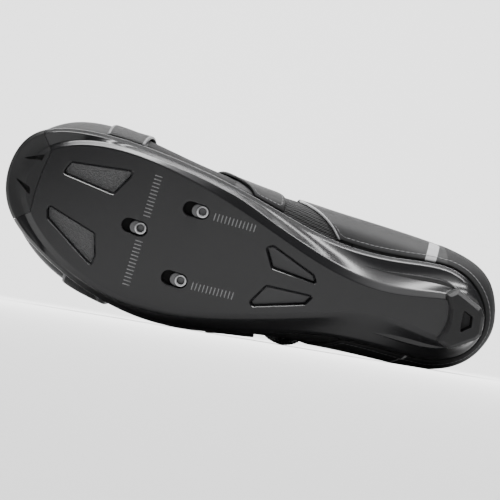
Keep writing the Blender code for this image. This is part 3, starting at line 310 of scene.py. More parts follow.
@dataclass
class Last:
    """The shoe's form, from the same sizes as its solids. Everything is in metres in the standing frame."""

    length: float = 285 * MM
    ball_width: float = 100 * MM
    instep_height: float = 100 * MM
    heel_height: float = 90 * MM
    toe_spring: float = 27 * MM
    arch_rise: float = 14 * MM
    edge_height: float = 30 * MM
    heel_overhang: float = 6 * MM
    sole_length: float = 278.5 * MM
    tread_start: float = 14 * MM
    tread_length: float = 258 * MM
    plate: float = 7.5 * MM
    feather_inset: float = 1 * MM
    gap: float = 0.3 * MM
    upper_start: float = 0.5 * MM
    upper_length: float = 281.5 * MM
    wall: float = 1.8 * MM
    waist: float = 3 / 11

    def bottom_height(self, x: Array) -> Array:
        """Height of the tread under a point: the arch, a flat seat for the cleat, then the toe spring.

        Args:
            x: Distances from the heel.

        Returns:
            The heights.
        """
        share = column(BOTTOM_ROWS, BOTTOM_COLUMNS, "along")
        arch = spline(share, column(BOTTOM_ROWS, BOTTOM_COLUMNS, "arch"), x / self.length)
        spring = spline(share, column(BOTTOM_ROWS, BOTTOM_COLUMNS, "spring"), x / self.length)
        return np.maximum(self.arch_rise * arch + self.toe_spring * spring, 0)

    def edge_ring(self, turn: Array) -> Array:
        """The sole's outline at its upper edge.

        Args:
            turn: Places round the shoe.

        Returns:
            The points.
        """
        ring, y_in, y_out, z_in, z_out = (
            column(SOLE_ROWS, SOLE_COLUMNS, n) for n in ("ring", "edge_in", "edge_out", "top_in", "top_out"))
        y, z = around(ring, y_in, y_out, turn), around(ring, z_in, z_out, turn)
        x = along(self.heel_overhang, self.sole_length, turn)
        return np.column_stack([x, y * self.ball_width, z * self.edge_height])

    def tread_ring(self, turn: Array) -> Array:
        """The outline of the raised tread face, on which the cleat and the pads sit.

        Args:
            turn: Places round the shoe.

        Returns:
            The points.
        """
        ring, inner, outer = (column(SOLE_ROWS, SOLE_COLUMNS, n) for n in ("ring", "tread_in", "tread_out"))
        y = around(ring, inner, outer, turn)
        x = along(self.tread_start, self.tread_length, turn)
        return np.column_stack([x, y * self.ball_width, self.bottom_height(x)])

    def moved(self, curve: Ring, turn: Array, out: float | Array = 0.0,
              heights: Array | None = None) -> Array:
        """Points of a ring moved horizontally outwards.

        Args:
            curve: The ring's function.
            turn: Places round the ring.
            out: How far outwards.
            heights: New heights, if the ring's own aren't kept.

        Returns:
            The moved points.
        """
        here = curve(turn)
        run = curve(turn + 1e-4) - curve(turn - 1e-4)
        normal = unit(np.stack([-run[:, 1], run[:, 0]], 1))
        flat = here[:, :2] + normal * np.reshape(out, (-1, 1))
        return np.column_stack([flat, here[:, 2] if heights is None else heights])

    def footbed(self, turn: Array, out: float, rise: float) -> Array:
        """A ring that lies on the plate's footbed or above it."""
        ring = self.moved(self.edge_ring, turn, out)
        ring[:, 2] = self.bottom_height(ring[:, 0]) + self.plate + rise
        return ring

    def ridge_share(self) -> float:
        """The ring share from which the wall's two sides meet on the ridge."""
        half = list(column(TOP_ROWS, TOP_COLUMNS, "half"))
        return TOP_ROWS[half.index(0.0, 1)][0]

    def top_ring(self, turn: Array) -> tuple[Array, Array]:
        """The collar line and the ridge of the vamp, with the way the wall leaves each point.

        Args:
            turn: Places round the shoe.

        Returns:
            The points, and the directions as unit vectors.
        """
        ring = column(TOP_ROWS, TOP_COLUMNS, "ring")
        turn = turn % 2
        share = 1 - np.abs(1 - turn)
        side = np.where(turn > 1, -1, 1)
        read = {name: spline(ring, column(TOP_ROWS, TOP_COLUMNS, name), share) for name in TOP_COLUMNS[1:]}
        front = self.ridge_share()
        for name in ("half", "lean"):
            read[name] = np.where(share < front - 1e-9, read[name], 0)
        heel = self.heel_height / self.instep_height / TOP_ROWS[0][TOP_COLUMNS.index("height")]
        height = read["height"] * self.instep_height * (1 + (heel - 1) * np.clip(1 - share / front, 0, 1))
        facing, lean = np.radians(read["facing"]), np.radians(read["lean"])
        pull = [np.cos(facing) * np.cos(lean), side * np.sin(facing) * np.cos(lean), -np.sin(lean)]
        y = (read["middle"] + side * read["half"]) * self.ball_width
        return np.column_stack([read["along"] * self.length, y, height]), np.column_stack(pull)

    def wall_points(self, turn: Array, climb: Array) -> Array:
        """Points of the upper's outer surface: climb runs from 0 at the sole to 1 at the collar or ridge.

        Args:
            turn: Places round the shoe.
            climb: Shares of the wall's height.

        Returns:
            The points.
        """
        brim = self.edge_ring(turn)[:, 2]
        foot = self.moved(self.edge_ring, turn, -self.feather_inset, brim + self.gap)
        ring, inner, outer, heights = (column(UPPER_ROWS, UPPER_COLUMNS, n) for n in UPPER_COLUMNS)
        wide = np.column_stack([
            along(self.upper_start, self.upper_length, turn),
            around(ring, inner, outer, turn) * self.ball_width,
            around(ring, heights, heights, turn) * self.instep_height,
        ])
        top, pull = self.top_ring(turn)
        flat, up = np.array([1, 1, 0]), np.array([0, 0, 1])
        spread, rise, height = (wide - foot) * flat, (wide - foot) * up, (top - wide) * up
        reach = np.linalg.norm(top - wide, axis=1)[:, None]
        above = (climb - self.waist) / (1 - self.waist)
        share = np.where(climb < self.waist, climb / self.waist, above)[:, None]
        low = bezier((foot, foot + 0.6 * spread + 0.1 * rise, wide - 0.55 * rise, wide), share)
        high = bezier((wide, wide + 0.5 * height, top + pull * reach * 0.42, top), share)
        return np.where((climb < self.waist)[:, None], low, high)

    def _slope(self, turn: Array, climb: Array, step: float) -> Array:
        """Unit normals of one side by differences."""
        run = self.wall_points(turn + step, climb) - self.wall_points(turn - step, climb)
        rise = self.wall_points(turn, climb + step) - self.wall_points(turn, climb - step)
        return unit(np.cross(rise, run))

    def wall_normals(self, turn: Array, climb: Array) -> Array:
        """Outward unit normals of the upper's outer surface.

        Args:
            turn: Places round the shoe.
            climb: Shares of the wall's height.

        Returns:
            The normals.
        """
        step = 1e-3
        inside = np.clip(climb, step, 1 - step)
        normal = self._slope(turn, inside, step)
        share = 1 - np.abs(1 - turn % 2)
        crest = ((climb > 1 - step) & (share > self.ridge_share() - 1e-6))[:, None]
        normal = np.where(crest, normal + self._slope(-turn, inside, step), normal)
        return unit(normal)

    def off_wall(self, turn: Array, climb: Array, out: float | Array) -> Array:
        """Points at a distance out from the upper's outer surface, for arrays of any one shape.

        Args:
            turn: Places round the shoe.
            climb: Shares of the wall's height.
            out: The distance, negative for inwards.

        Returns:
            The points.
        """
        turn, climb, out = np.broadcast_arrays(turn, climb, out)
        flat = turn.ravel().astype(float), climb.ravel().astype(float)
        points = self.wall_points(*flat) + self.wall_normals(*flat) * out.ravel()[:, None]
        return points.reshape(*turn.shape, 3)

    def turn_at(self, x: Array, climb: Array, side: float | Array = 1) -> Array:
        """The place round the shoe whose wall point lies at x, on the inner (1) or outer (-1) side.

        Args:
            x: Distances from the heel.
            climb: Shares of the wall's height.
            side: 1 or -1 for each point.

        Returns:
            The places.
        """
        x, climb, side = np.broadcast_arrays(x, climb, side)
        trial = np.linspace(0.02, 0.98, 193)
        found = np.empty(x.shape)
        for level in np.unique(climb):
            for way in (1, -1):
                pick = (climb == level) & (side == way)
                if pick.any():
                    reach = self.wall_points(trial * way, np.full(len(trial), level))[:, 0]
                    found[pick] = way * np.interp(x[pick], reach, trial)
        return found

    def ridge_middle(self, x: float) -> float:
        """How far the ridge lies to the inner side at a distance from the heel.

        Args:
            x: The distance from the heel.

        Returns:
            The distance to the inner side.
        """
        share = column(TOP_ROWS, TOP_COLUMNS, "along") * self.length
        middle = column(TOP_ROWS, TOP_COLUMNS, "middle") * self.ball_width
        order = np.argsort(share)
        return float(np.interp(x, share[order], middle[order]))

    def on_plan(self, outline: Table) -> Array:
        """An outline table in metres."""
        return np.array(outline, float) * [self.length, self.ball_width]


class Texture(Enum):
    """How a finish breaks the light."""

    MOULDED = "moulded"
    RUBBER = "rubber"
    HIDE = "hide"
    KNIT = "knit"
    WEAVE = "weave"
    BRUSHED = "brushed"
    FOAM = "foam"
    BRAID = "braid"


class Nodes:
    """Short calls for a material's node tree."""

    def __init__(self, tree: bpy.types.NodeTree) -> None:
        """Keeps the tree."""
        self.tree = tree

    def add(self, kind: str, settings: dict | None = None, **inputs) -> bpy.types.Node:
        """Adds a node.

        Args:
            kind: The node's type, without its prefix.
            settings: Properties of the node.
            **inputs: Sockets to link, or values to set, by name with _ for a space, or i0, i1 by number.

        Returns:
            The node.
        """
        node = self.tree.nodes.new("ShaderNode" + kind)
        for key, value in (settings or {}).items():
            setattr(node, key, value)
        for key, value in inputs.items():
            socket = node.inputs[int(key[1:])] if key[1:].isdigit() else node.inputs[key.replace("_", " ")]
            if isinstance(value, Socket):
                self.tree.links.new(value, socket)
            else:
                socket.default_value = value
        return node

    def math(self, operation: str, a: Socket | float, b: Socket | float = 0.0, clamp: bool = False) -> Socket:
        """The result of a sum on two sockets or numbers."""
        return self.add("Math", {"operation": operation, "use_clamp": clamp}, i0=a, i1=b).outputs[0]

    def millimetres(self, uv: bool = False, stretch: Row = (1, 1, 1)) -> Socket:
        """The piece's own coordinates in millimetres, or its UV map, which is in millimetres already."""
        source = self.add("TexCoord").outputs["UV" if uv else "Object"]
        scale = tuple((1 if uv else 1000) * s for s in stretch)
        return self.add("Mapping", i3=scale, Vector=source).outputs[0]

    def noise(self, vector: Socket, scale: float, detail: float = 3.0) -> Socket:
        """A noise from 0 to 1 with a scale in cells a millimetre."""
        return self.add("TexNoise", Vector=vector, Scale=scale, Detail=detail, Roughness=0.6).outputs["Fac"]

    def cells(self, vector: Socket, scale: float, feature: str = "F1", spread: float = 1.0) -> Socket:
        """The distance in a cell pattern."""
        return self.add("TexVoronoi", {"feature": feature}, Vector=vector, Scale=scale,
                        Randomness=spread).outputs["Distance"]

    def mix(self, kind: str, factor: Socket | float, a: Socket | Row | float,
            b: Socket | Row | float) -> Socket:
        """A mix of two numbers (FLOAT) or colours (RGBA).

        Args:
            kind: FLOAT or RGBA.
            factor: The share of the second.
            a: The first.
            b: The second.

        Returns:
            The mixed socket.
        """
        first, second, out = {"FLOAT": (2, 3, 0), "RGBA": (6, 7, 2)}[kind]
        node = self.add("Mix", {"data_type": kind}, i0=factor, **{f"i{first}": a, f"i{second}": b})
        return node.outputs[out]

    def mark(self, name: str) -> Socket:
        """A number that the mesh holds at each point."""
        return self.add("Attribute", {"attribute_name": name}).outputs["Fac"]


@dataclass(frozen=True)
class Finish:
    """One surface finish: its colour, gloss and relief."""

    colour: Row
    roughness: float
    texture: Texture
    relief: float = 0.06
    specular: float = 0.5
    metallic: float = 0.0
    coat: float = 0.0
    coat_roughness: float = 0.25
    sheen: float = 0.0
    blotch: float = 0.12
    wear: float = 0.05

    def layers(self, nodes: Nodes) -> tuple[Socket, ...]:
        """The colour, roughness and height (in millimetres) of this finish.

        Args:
            nodes: The material's nodes.

        Returns:
            The three sockets.
        """
        place = nodes.millimetres()
        kind = self.texture
        shade = None
        if kind is Texture.MOULDED:
            height = nodes.noise(place, 2.2)
        elif kind is Texture.RUBBER:
            height = nodes.math("ADD", nodes.noise(place, 3.5), nodes.noise(place, 0.5))
        elif kind is Texture.HIDE:
            pebbles = nodes.math("MINIMUM", nodes.cells(place, 1.5, "DISTANCE_TO_EDGE"), 0.28)
            height = nodes.math("ADD", nodes.math("MULTIPLY", pebbles, 2.4), nodes.noise(place, 2.8))
        elif kind is Texture.KNIT:
            threads = nodes.millimetres(True, (1, 0.8, 1))
            holes = nodes.cells(threads, 0.62, "F1", 0.12)
            height = nodes.math("MULTIPLY", nodes.math("MINIMUM", holes, 0.55), 1.8)
            # The colour darkens in the knit's holes, where the relief is lowest: painted shade in the holes.
            shade = nodes.math("MULTIPLY_ADD", holes, 1.5)
            shade.node.inputs[2].default_value = 0.25
        elif kind is Texture.WEAVE:
            grains = nodes.cells(place, 1.25, "F1", 0.75)
            height = nodes.math("ADD", nodes.math("MULTIPLY", grains, 1.6), nodes.noise(place, 2.0))
            # The colour darkens in the grains' hollows and lightens on their rims, as the relief does: painted
            # shade and light.
            shade = nodes.math("MULTIPLY_ADD", grains, 1.4)
            shade.node.inputs[2].default_value = 0.4
        elif kind is Texture.BRUSHED:
            height = nodes.noise(nodes.millimetres(False, (0.3, 4, 4)), 3.0)
        elif kind is Texture.BRAID:
            strands = nodes.millimetres(True, (1, 1, 1))
            wave = nodes.add("TexWave", {"bands_direction": "DIAGONAL"}, Vector=strands, Scale=0.55)
            wave = wave.outputs["Fac"]
            height = nodes.math("MULTIPLY", wave, 1.0)
        else:
            height = nodes.math("ADD", nodes.noise(place, 4.0), nodes.noise(place, 1.0))
        drift = nodes.noise(place, 0.045, 4.0)
        low = tuple(c * (1 - self.blotch) for c in self.colour) + (1,)
        high = tuple(c * (1 + self.blotch) for c in self.colour) + (1,)
        colour = nodes.mix("RGBA", drift, low, high)
        # The knit and weave multiply the colour by their painted shade.
        if shade is not None:
            grey = nodes.add("CombineColor", Red=shade, Green=shade, Blue=shade).outputs[0]
            kinds = {"data_type": "RGBA", "blend_type": "MULTIPLY"}
            multiply = nodes.add("Mix", kinds, i0=1.0, i6=colour, i7=grey)
            colour = multiply.outputs[2]
        rough = nodes.add("MapRange", Value=nodes.noise(place, 0.12, 4.0), To_Min=self.roughness - self.wear,
                          To_Max=self.roughness + self.wear).outputs[0]
        return colour, rough, nodes.math("MULTIPLY", height, self.relief)


@dataclass(frozen=True)
class Zone:
    """A part of a piece, where a mark on its points is over 0, that has a finish of its own."""

    mark: str
    finish: Finish
    fade: float = 0.25


@dataclass
class Look:
    """A material: a base finish, zones with their own, and stitches along the edges."""

    name: str
    base: Finish
    zones: tuple[Zone, ...] = ()
    stitch_inset: float = 0.0
    stitch_colour: Row = (0.09, 0.09, 0.092)

    def stitches(self, nodes: Nodes) -> Socket:
        """A mask of the stitches: dashes at one distance from the edge.

        Args:
            nodes: The material's nodes.

        Returns:
            The mask, 1 on a stitch.
        """
        off = nodes.math("ABSOLUTE", nodes.math("SUBTRACT", nodes.mark("edge_mm"), self.stitch_inset))
        line = nodes.math("SUBTRACT", 1.0, nodes.math("MULTIPLY", off, 2.6), clamp=True)
        dash = nodes.math("FRACT", nodes.math("DIVIDE", nodes.mark("run_mm"), 2.6))
        dash = nodes.math("LESS_THAN", nodes.math("ABSOLUTE", nodes.math("SUBTRACT", dash, 0.5)), 0.36)
        return nodes.math("MULTIPLY", line, dash)

    def material(self) -> Skin:
        """Builds the material.

        Returns:
            The material.
        """
        made = bpy.data.materials.new(self.name)
        made.use_nodes = True
        nodes = Nodes(made.node_tree)
        shader = made.node_tree.nodes["Principled BSDF"]
        colour, rough, height = self.base.layers(nodes)
        for zone in self.zones:
            mask = nodes.math("MULTIPLY_ADD", nodes.mark(zone.mark), 1 / zone.fade, clamp=True)
            mask.node.inputs[2].default_value = 0.5
            parts = zone.finish.layers(nodes)
            colour = nodes.mix("RGBA", mask, colour, parts[0])
            rough = nodes.mix("FLOAT", mask, rough, parts[1])
            height = nodes.mix("FLOAT", mask, height, parts[2])
        if self.stitch_inset:
            mask = self.stitches(nodes)
            colour = nodes.mix("RGBA", mask, colour, (*self.stitch_colour, 1))
            height = nodes.math("ADD", height, nodes.math("MULTIPLY", mask, 0.3))
        bump = nodes.add("Bump", Height=height, Distance=MM, Strength=1.0).outputs[0]
        links = made.node_tree.links
        links.new(colour, shader.inputs["Base Color"])
        links.new(rough, shader.inputs["Roughness"])
        links.new(bump, shader.inputs["Normal"])
        shader.inputs["Metallic"].default_value = self.base.metallic
        shader.inputs["Specular IOR Level"].default_value = self.base.specular
        shader.inputs["Coat Weight"].default_value = self.base.coat
        shader.inputs["Coat Roughness"].default_value = self.base.coat_roughness
        shader.inputs["Sheen Weight"].default_value = self.base.sheen
        return made


COMPOSITE = Finish((0.0034, 0.0034, 0.0037), 0.22, Texture.MOULDED, 0.005, 0.18, blotch=0.05, wear=0.02)
TICK = Finish((0.065, 0.065, 0.067), 0.45, Texture.MOULDED, 0.01)
WINDOW_MESH = Finish((0.019, 0.019, 0.0195), 0.55, Texture.WEAVE, 0.22, 0.4)
WINDOW_SMOOTH = Finish((0.005, 0.005, 0.0055), 0.4, Texture.MOULDED, 0.01, 0.25)
# Near-black and dull: painted shade deep in the cleat slots and in the toe pad's grooves.
SLOT_PAINTED_SHADE = Finish((0.003, 0.003, 0.003), 0.8, Texture.MOULDED, 0.02, 0.1)
RUBBER = Finish((0.0042, 0.0042, 0.0044), 0.5, Texture.RUBBER, 0.02, 0.14)
MICROFIBRE = Finish((0.0075, 0.0075, 0.0078), 0.55, Texture.HIDE, 0.035, 0.14)
PANEL_SKIN = Finish((0.0055, 0.0055, 0.0057), 0.55, Texture.HIDE, 0.02, 0.12)
COUNTER_SKIN = Finish((0.004, 0.004, 0.0042), 0.7, Texture.HIDE, 0.05, 0.1)
STRAP_SKIN = Finish((0.007, 0.007, 0.0072), 0.6, Texture.WEAVE, 0.09, 0.14)
REFLECTIVE = Finish((0.16, 0.16, 0.163), 0.35, Texture.MOULDED, 0.02, 0.5)
TRIM = Finish((0.065, 0.065, 0.067), 0.35, Texture.MOULDED, 0.02, 0.5)
KNIT = Finish((0.008, 0.008, 0.0082), 0.8, Texture.KNIT, 0.5, 0.12)
LINING = Finish((0.010, 0.010, 0.0105), 0.9, Texture.FOAM, 0.08, 0.2, sheen=0.15)
FOAM = Finish((0.020, 0.020, 0.021), 0.85, Texture.FOAM, 0.1, 0.25)
PLASTIC = Finish((0.018, 0.018, 0.0185), 0.36, Texture.MOULDED, 0.01, 0.5)
STEEL = Finish((0.24, 0.24, 0.245), 0.3, Texture.BRUSHED, 0.02, 0.5, metallic=1.0, blotch=0.2, wear=0.08)
# The steel again, darker and duller: painted shade on the nuts' plates, hollows and holes.
STEEL_PAINTED_SHADE = Finish((0.05, 0.05, 0.051), 0.42, Texture.BRUSHED, 0.02, 0.5, metallic=1.0, blotch=0.2, wear=0.08)
WIRE = Finish((0.055, 0.055, 0.057), 0.4, Texture.BRAID, 0.12, 0.5)


def alone(piece: Piece) -> Piece:
    """Selects one piece and nothing else.

    Args:
        piece: What is selected.

    Returns:
        The same piece.
    """
    if bpy.context.mode != "OBJECT":
        bpy.ops.object.mode_set(mode="OBJECT")
    bpy.ops.object.select_all(action="DESELECT")
    piece.select_set(True)
    bpy.context.view_layer.objects.active = piece
    return piece


def surface(name: str, points: Array, closed: bool = True, uv: Array | None = None,
            marks: dict[str, Array] | None = None, drop: Array | None = None) -> Piece:
    """A grid primitive reshaped over rows and columns of points, with its doubled seams merged.

    Args:
        name: The piece's name.
        points: Its points in the standing frame, shaped (rows, columns, 3).
        closed: Whether the merged grid is closed, so that its faces can be turned outwards.
        uv: Its UV map in millimetres, shaped (rows, columns, 2).
        marks: Numbers for each point, shaped (rows, columns).
        drop: Which faces are left out, shaped (rows - 1, columns - 1).

    Returns:
        The piece, in the row frame.
    """
    rows, cols = points.shape[:2]
    bpy.ops.object.select_all(action="DESELECT")
    bpy.ops.mesh.primitive_grid_add(x_subdivisions=cols - 1, y_subdivisions=rows - 1, size=2)
    piece = bpy.context.object
    piece.name = piece.data.name = name
    placed = points.reshape(-1, 3) @ LYING[:, :3].T + LYING[:, 3]
    piece.data.vertices.foreach_set("co", placed.astype(np.float32).ravel())
    if uv is not None:
        corner = np.empty(len(piece.data.loops), np.int32)
        piece.data.loops.foreach_get("vertex_index", corner)
        piece.data.uv_layers[0].data.foreach_set("uv", uv.reshape(-1, 2)[corner].astype(np.float32).ravel())
    for key, values in (marks or {}).items():
        held = piece.data.attributes.new(key, "FLOAT", "POINT")
        held.data.foreach_set("value", np.ascontiguousarray(values, np.float32).ravel())
    if drop is not None:
        piece.data.polygons.foreach_set("select", drop.ravel())
        piece.data.vertices.foreach_set("select", np.zeros(rows * cols, bool))
        piece.data.edges.foreach_set("select", np.zeros(len(piece.data.edges), bool))
        bpy.ops.object.mode_set(mode="EDIT")
        bpy.ops.mesh.select_mode(type="FACE")
        bpy.ops.object.mode_set(mode="OBJECT")
        piece.data.polygons.foreach_set("select", drop.ravel())
        bpy.ops.object.mode_set(mode="EDIT")
        bpy.ops.mesh.delete(type="FACE")
        bpy.ops.mesh.select_mode(type="VERT")
        bpy.ops.object.mode_set(mode="OBJECT")
    bpy.ops.object.mode_set(mode="EDIT")
    bpy.ops.mesh.select_all(action="SELECT")
    bpy.ops.mesh.remove_doubles(threshold=3e-6)
    if closed:
        bpy.ops.mesh.normals_make_consistent(inside=False)
    bpy.ops.object.mode_set(mode="OBJECT")
    return piece


def ring_closed(loop: Array) -> Array:
    """A loop of points with its first repeated at its end."""
    return np.concatenate([loop, loop[:1]])


def stack(name: str, loops: list[Array]) -> Piece:
    """A closed body from loops of points, each end drawn in to its middle.

    Args:
        name: The piece's name.
        loops: Its loops, all with as many points.

    Returns:
        The body.
    """
    rows = [ring_closed(loop) for loop in loops]
    ends = []
    for end in (rows[0], rows[-1]):
        middle = end[:-1].mean(0)
        ends.append([middle + (end - middle) * share for share in (0.5, 0.0)])
    return surface(name, np.array(ends[0][::-1] + rows + ends[1]))


def carve(target: Piece, cutter: Piece, operation: str = "DIFFERENCE") -> None:
    """Cuts one closed mesh with another, carries the cutter's materials over and removes the cutter.

    Args:
        target: The mesh that changes.
        cutter: The mesh that cuts.
        operation: DIFFERENCE, UNION or INTERSECT.
    """
    alone(target)
    change = target.modifiers.new("carve", "BOOLEAN")
    change.operation = operation
    change.object = cutter
    change.solver = "EXACT"
    change.material_mode = "TRANSFER"
    bpy.ops.object.modifier_apply(modifier=change.name)
    bpy.data.objects.remove(cutter)


def join(pieces: list[Piece]) -> Piece:
    """Several meshes as one object, the first.

    Args:
        pieces: The meshes.

    Returns:
        The first, which now holds them all.
    """
    alone(pieces[0])
    for piece in pieces[1:]:
        piece.select_set(True)
    bpy.ops.object.join()
    return pieces[0]


def present(piece: Piece, slot: str, *nodes: str, angle: float = 40.0,
            looks: tuple[Skin, ...] = ()) -> Piece:
    """Finishes a piece: its materials, smooth faces, and the CAD nodes and body it stands for.

    Args:
        piece: The finished mesh.
        slot: Not used.
        *nodes: The nodes that it replaces.
        angle: Edges sharper than this, in degrees, stay sharp.
        looks: Its materials, if it has none.

    Returns:
        The same piece.
    """
    if looks:
        piece.data.materials.clear()
        for look in looks:
            piece.data.materials.append(look)
    alone(piece)
    bpy.ops.object.shade_smooth_by_angle(angle=math.radians(angle))
    even = piece.modifiers.new("even_shading", "WEIGHTED_NORMAL")
    even.keep_sharp = True
    bpy.ops.object.modifier_apply(modifier=even.name)
    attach(piece, BODY)
    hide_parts(*nodes)
    LOG.info("%s: %d faces", piece.name, len(piece.data.polygons))
    return piece


def rounded(outline: Array, radius: float, steps: int = 5) -> Array:
    """A flat outline with its corners rounded and its sides cut into short runs.

    Args:
        outline: Flat points, one row each.
        radius: Reach of the rounding.
        steps: Points on each corner.

    Returns:
        The outline.
    """
    before, after = np.roll(outline, 1, 0), np.roll(outline, -1, 0)
    back, ahead = unit(before - outline), unit(after - outline)
    half = np.arccos(np.clip(np.sum(back * ahead, 1), -1, 1)) / 2
    short = np.minimum(np.linalg.norm(before - outline, axis=1), np.linalg.norm(after - outline, axis=1))
    reach = np.minimum(radius / np.maximum(np.tan(half), 0.2), 0.42 * short)[:, None]
    starts, ends = outline + back * reach, outline + ahead * reach
    points = []
    for k, here in enumerate(outline):
        for share in np.linspace(0, 1, steps):
            points.append((1 - share) ** 2 * starts[k] + 2 * share * (1 - share) * here + share ** 2 * ends[k])
        following = starts[(k + 1) % len(outline)]
        points += [ends[k] + (following - ends[k]) * share for share in (0.25, 0.5, 0.75)]
    return np.array(points)


def eased(outline: Array, out: float, radius: float, steps: int = 5) -> Array:
    """A flat outline grown by a distance, then rounded so that its corners stay alike."""
    return rounded(grown(outline, out), max(radius + out, 0.35 * MM), steps)


def area(outline: Array) -> float:
    """Signed area of a flat outline: positive when it runs anticlockwise."""
    x, y = outline[:, 0], outline[:, 1]
    return 0.5 * float(np.sum(x * np.roll(y, -1) - np.roll(x, -1) * y))


def grown(outline: Array, distance: float) -> Array:
    """A flat outline grown outwards by a distance, or drawn in by a negative one.

    Args:
        outline: Flat points, one row each.
        distance: How far outwards.

    Returns:
        The outline.
    """
    before, after = np.roll(outline, 1, 0), np.roll(outline, -1, 0)
    sides = [unit(outline - before), unit(after - outline)]
    normals = [np.stack([side[:, 1], -side[:, 0]], 1) for side in sides]
    corner = normals[0] + normals[1]
    corner /= np.maximum(0.5, 1 + np.sum(normals[0] * normals[1], 1))[:, None]
    return outline + math.copysign(1, area(outline)) * distance * corner


def stadium(length: float, width: float, steps: int = 12) -> Array:
    """A slot outline, centred, with its length along X.

    Args:
        length: Its length.
        width: Its width.
        steps: Runs in each round end.

    Returns:
        The outline.
    """
    radius, half = width / 2, length / 2 - width / 2
    angles = np.linspace(-math.pi / 2, math.pi / 2, steps + 1)
    end = np.column_stack([half + radius * np.cos(angles), radius * np.sin(angles)])
    return np.concatenate([end, -end])


def placed(outline: Array, centre: Array, degrees: float) -> Array:
    """A flat outline turned and moved."""
    c, s = math.cos(math.radians(degrees)), math.sin(math.radians(degrees))
    return outline @ np.array([[c, s], [-s, c]]) + np.asarray(centre)


def at_height(outline: Array, height: float | Array) -> Array:
    """A flat outline at a height."""
    return np.column_stack([outline, np.broadcast_to(height, len(outline))])


def soften(rings: list[Array], radii: list[float]) -> list[Array]:
    """Rounds a body's profile at each of its rings but the first and last.

    Args:
        rings: Its profile, ring by ring.
        radii: Rounding at each ring.

    Returns:
        The rings, with those of the rounding.
    """
    made = [rings[0]]
    for k in range(1, len(rings) - 1):
        if radii[k] <= 0:
            made.append(rings[k])
            continue
        before, here, after = rings[k - 1], rings[k], rings[k + 1]
        ends = []
        for other in (before, after):
            gap = np.linalg.norm(other - here, axis=1)[:, None]
            ends.append(here + (other - here) * np.minimum(radii[k] / np.maximum(gap, 1e-9), 0.45))
        for share in (0.0, 0.25, 0.5, 0.75, 1.0):
            made.append((1 - share) ** 2 * ends[0] + 2 * share * (1 - share) * here + share ** 2 * ends[1])
    return made + [rings[-1]]


@dataclass
class SoleBody:
    """The sole's closed body, from the middle of its tread round the edge to the middle of its footbed."""

    last: Last
    stations: int = 260
    step: float = 2.6 * MM
    slope: float = 3.4 * MM
    lip: float = 5 * MM
    edge_round: float = 2.2 * MM
    land_width: float = 4.5 * MM
    cup_width: float = 8 * MM
    sag: float = 0.12
    band_rings: Row = (0.0, 0.3, 0.385, 0.43, 0.48, 0.535, 0.62, 0.67, 0.73, 1.0)
    band_in: Row = (3.0, 3.6, 4.6, 4.6, 4.4, 5.2, 3.2, 2.6, 2.4, 2.6)
    flank_shares: Row = (0.1, 0.22, 0.34, 0.46, 0.58, 0.70, 0.82, 0.92)

    def band(self, turn: Array) -> Array:
        """Width of the bright slope beside the tread: it swells along the inner waist.

        Args:
            turn: Places round the shoe.

        Returns:
            The widths.
        """
        share = 1 - np.abs(1 - turn % 2)
        inner = np.interp(share, self.band_rings, self.band_in) * MM
        blend = np.clip((1 - turn % 2) / 0.06, -1, 1) * 0.5 + 0.5
        blend = np.where(share < 0.1, 0.5 + (blend - 0.5) * share / 0.1, blend)
        return self.slope + (inner - self.slope) * blend

    def rings(self, inset: float = 0.0, raised: float = 0.0) -> Array:
        """The body's rows of points.

        Args:
            inset: How far the outer surface is drawn inwards.
            raised: How far the inner surface is lifted.

        Returns:
            Points shaped (rows, columns, 3), whose first and last rows lie on the middle line.
        """
        last, turn = self.last, np.linspace(0, 2, 2 * self.stations + 1)
        brim, tread = last.edge_ring(turn)[:, 2], last.tread_ring(turn)[:, 2]
        face = last.moved(last.tread_ring, turn, 0, tread + inset)
        brow = last.moved(last.tread_ring, turn, self.band(turn) - inset / 2, tread + self.step + inset)
        low = last.moved(last.edge_ring, turn, -self.edge_round - inset, brim - self.lip + 0.8 * inset)
        rise = np.maximum(low - brow, 0)[:, 2]
        rings, radii = [face, brow], [0.7 * MM, 0.9 * MM]
        for share in self.flank_shares:
            middle = brow + (low - brow) * share
            middle[:, 2] += self.sag * rise * math.sin(math.pi * share)
            rings.append(middle)
            radii.append(0.0)
        rings += [low, last.moved(last.edge_ring, turn, -inset, brim - self.edge_round),
                  last.moved(last.edge_ring, turn, -last.feather_inset / 2 - inset, brim + raised),
                  last.moved(last.edge_ring, turn, -self.land_width, brim + raised),
                  last.footbed(turn, -self.cup_width, raised)]
        radii += [1.0 * MM, 0.9 * MM, 0.4 * MM, 0.4 * MM, 0.0]
        centre = (face + face[::-1]) / 2
        inward = (0.0, 0.25, 0.5, 0.75, 0.93)
        rings = soften([centre + (face - centre) * 0.97, *rings], [0.0, *radii])
        bed = rings[-1]
        middle = (bed + bed[::-1]) / 2
        middle[:, 2] = last.bottom_height(middle[:, 0]) + last.plate + raised
        rows = [centre + (face - centre) * share for share in inward] + rings
        rows += [middle + (bed - middle) * share for share in (0.7, 0.35, 0.0)]
        for row in rows[:len(inward) + 1]:
            row[:, 2] = last.bottom_height(row[:, 0]) + inset
        return np.array(rows)

    def body(self, name: str, inset: float = 0.0, raised: float = 0.0) -> Piece:
        """The closed body."""
        return surface(name, self.rings(inset, raised))


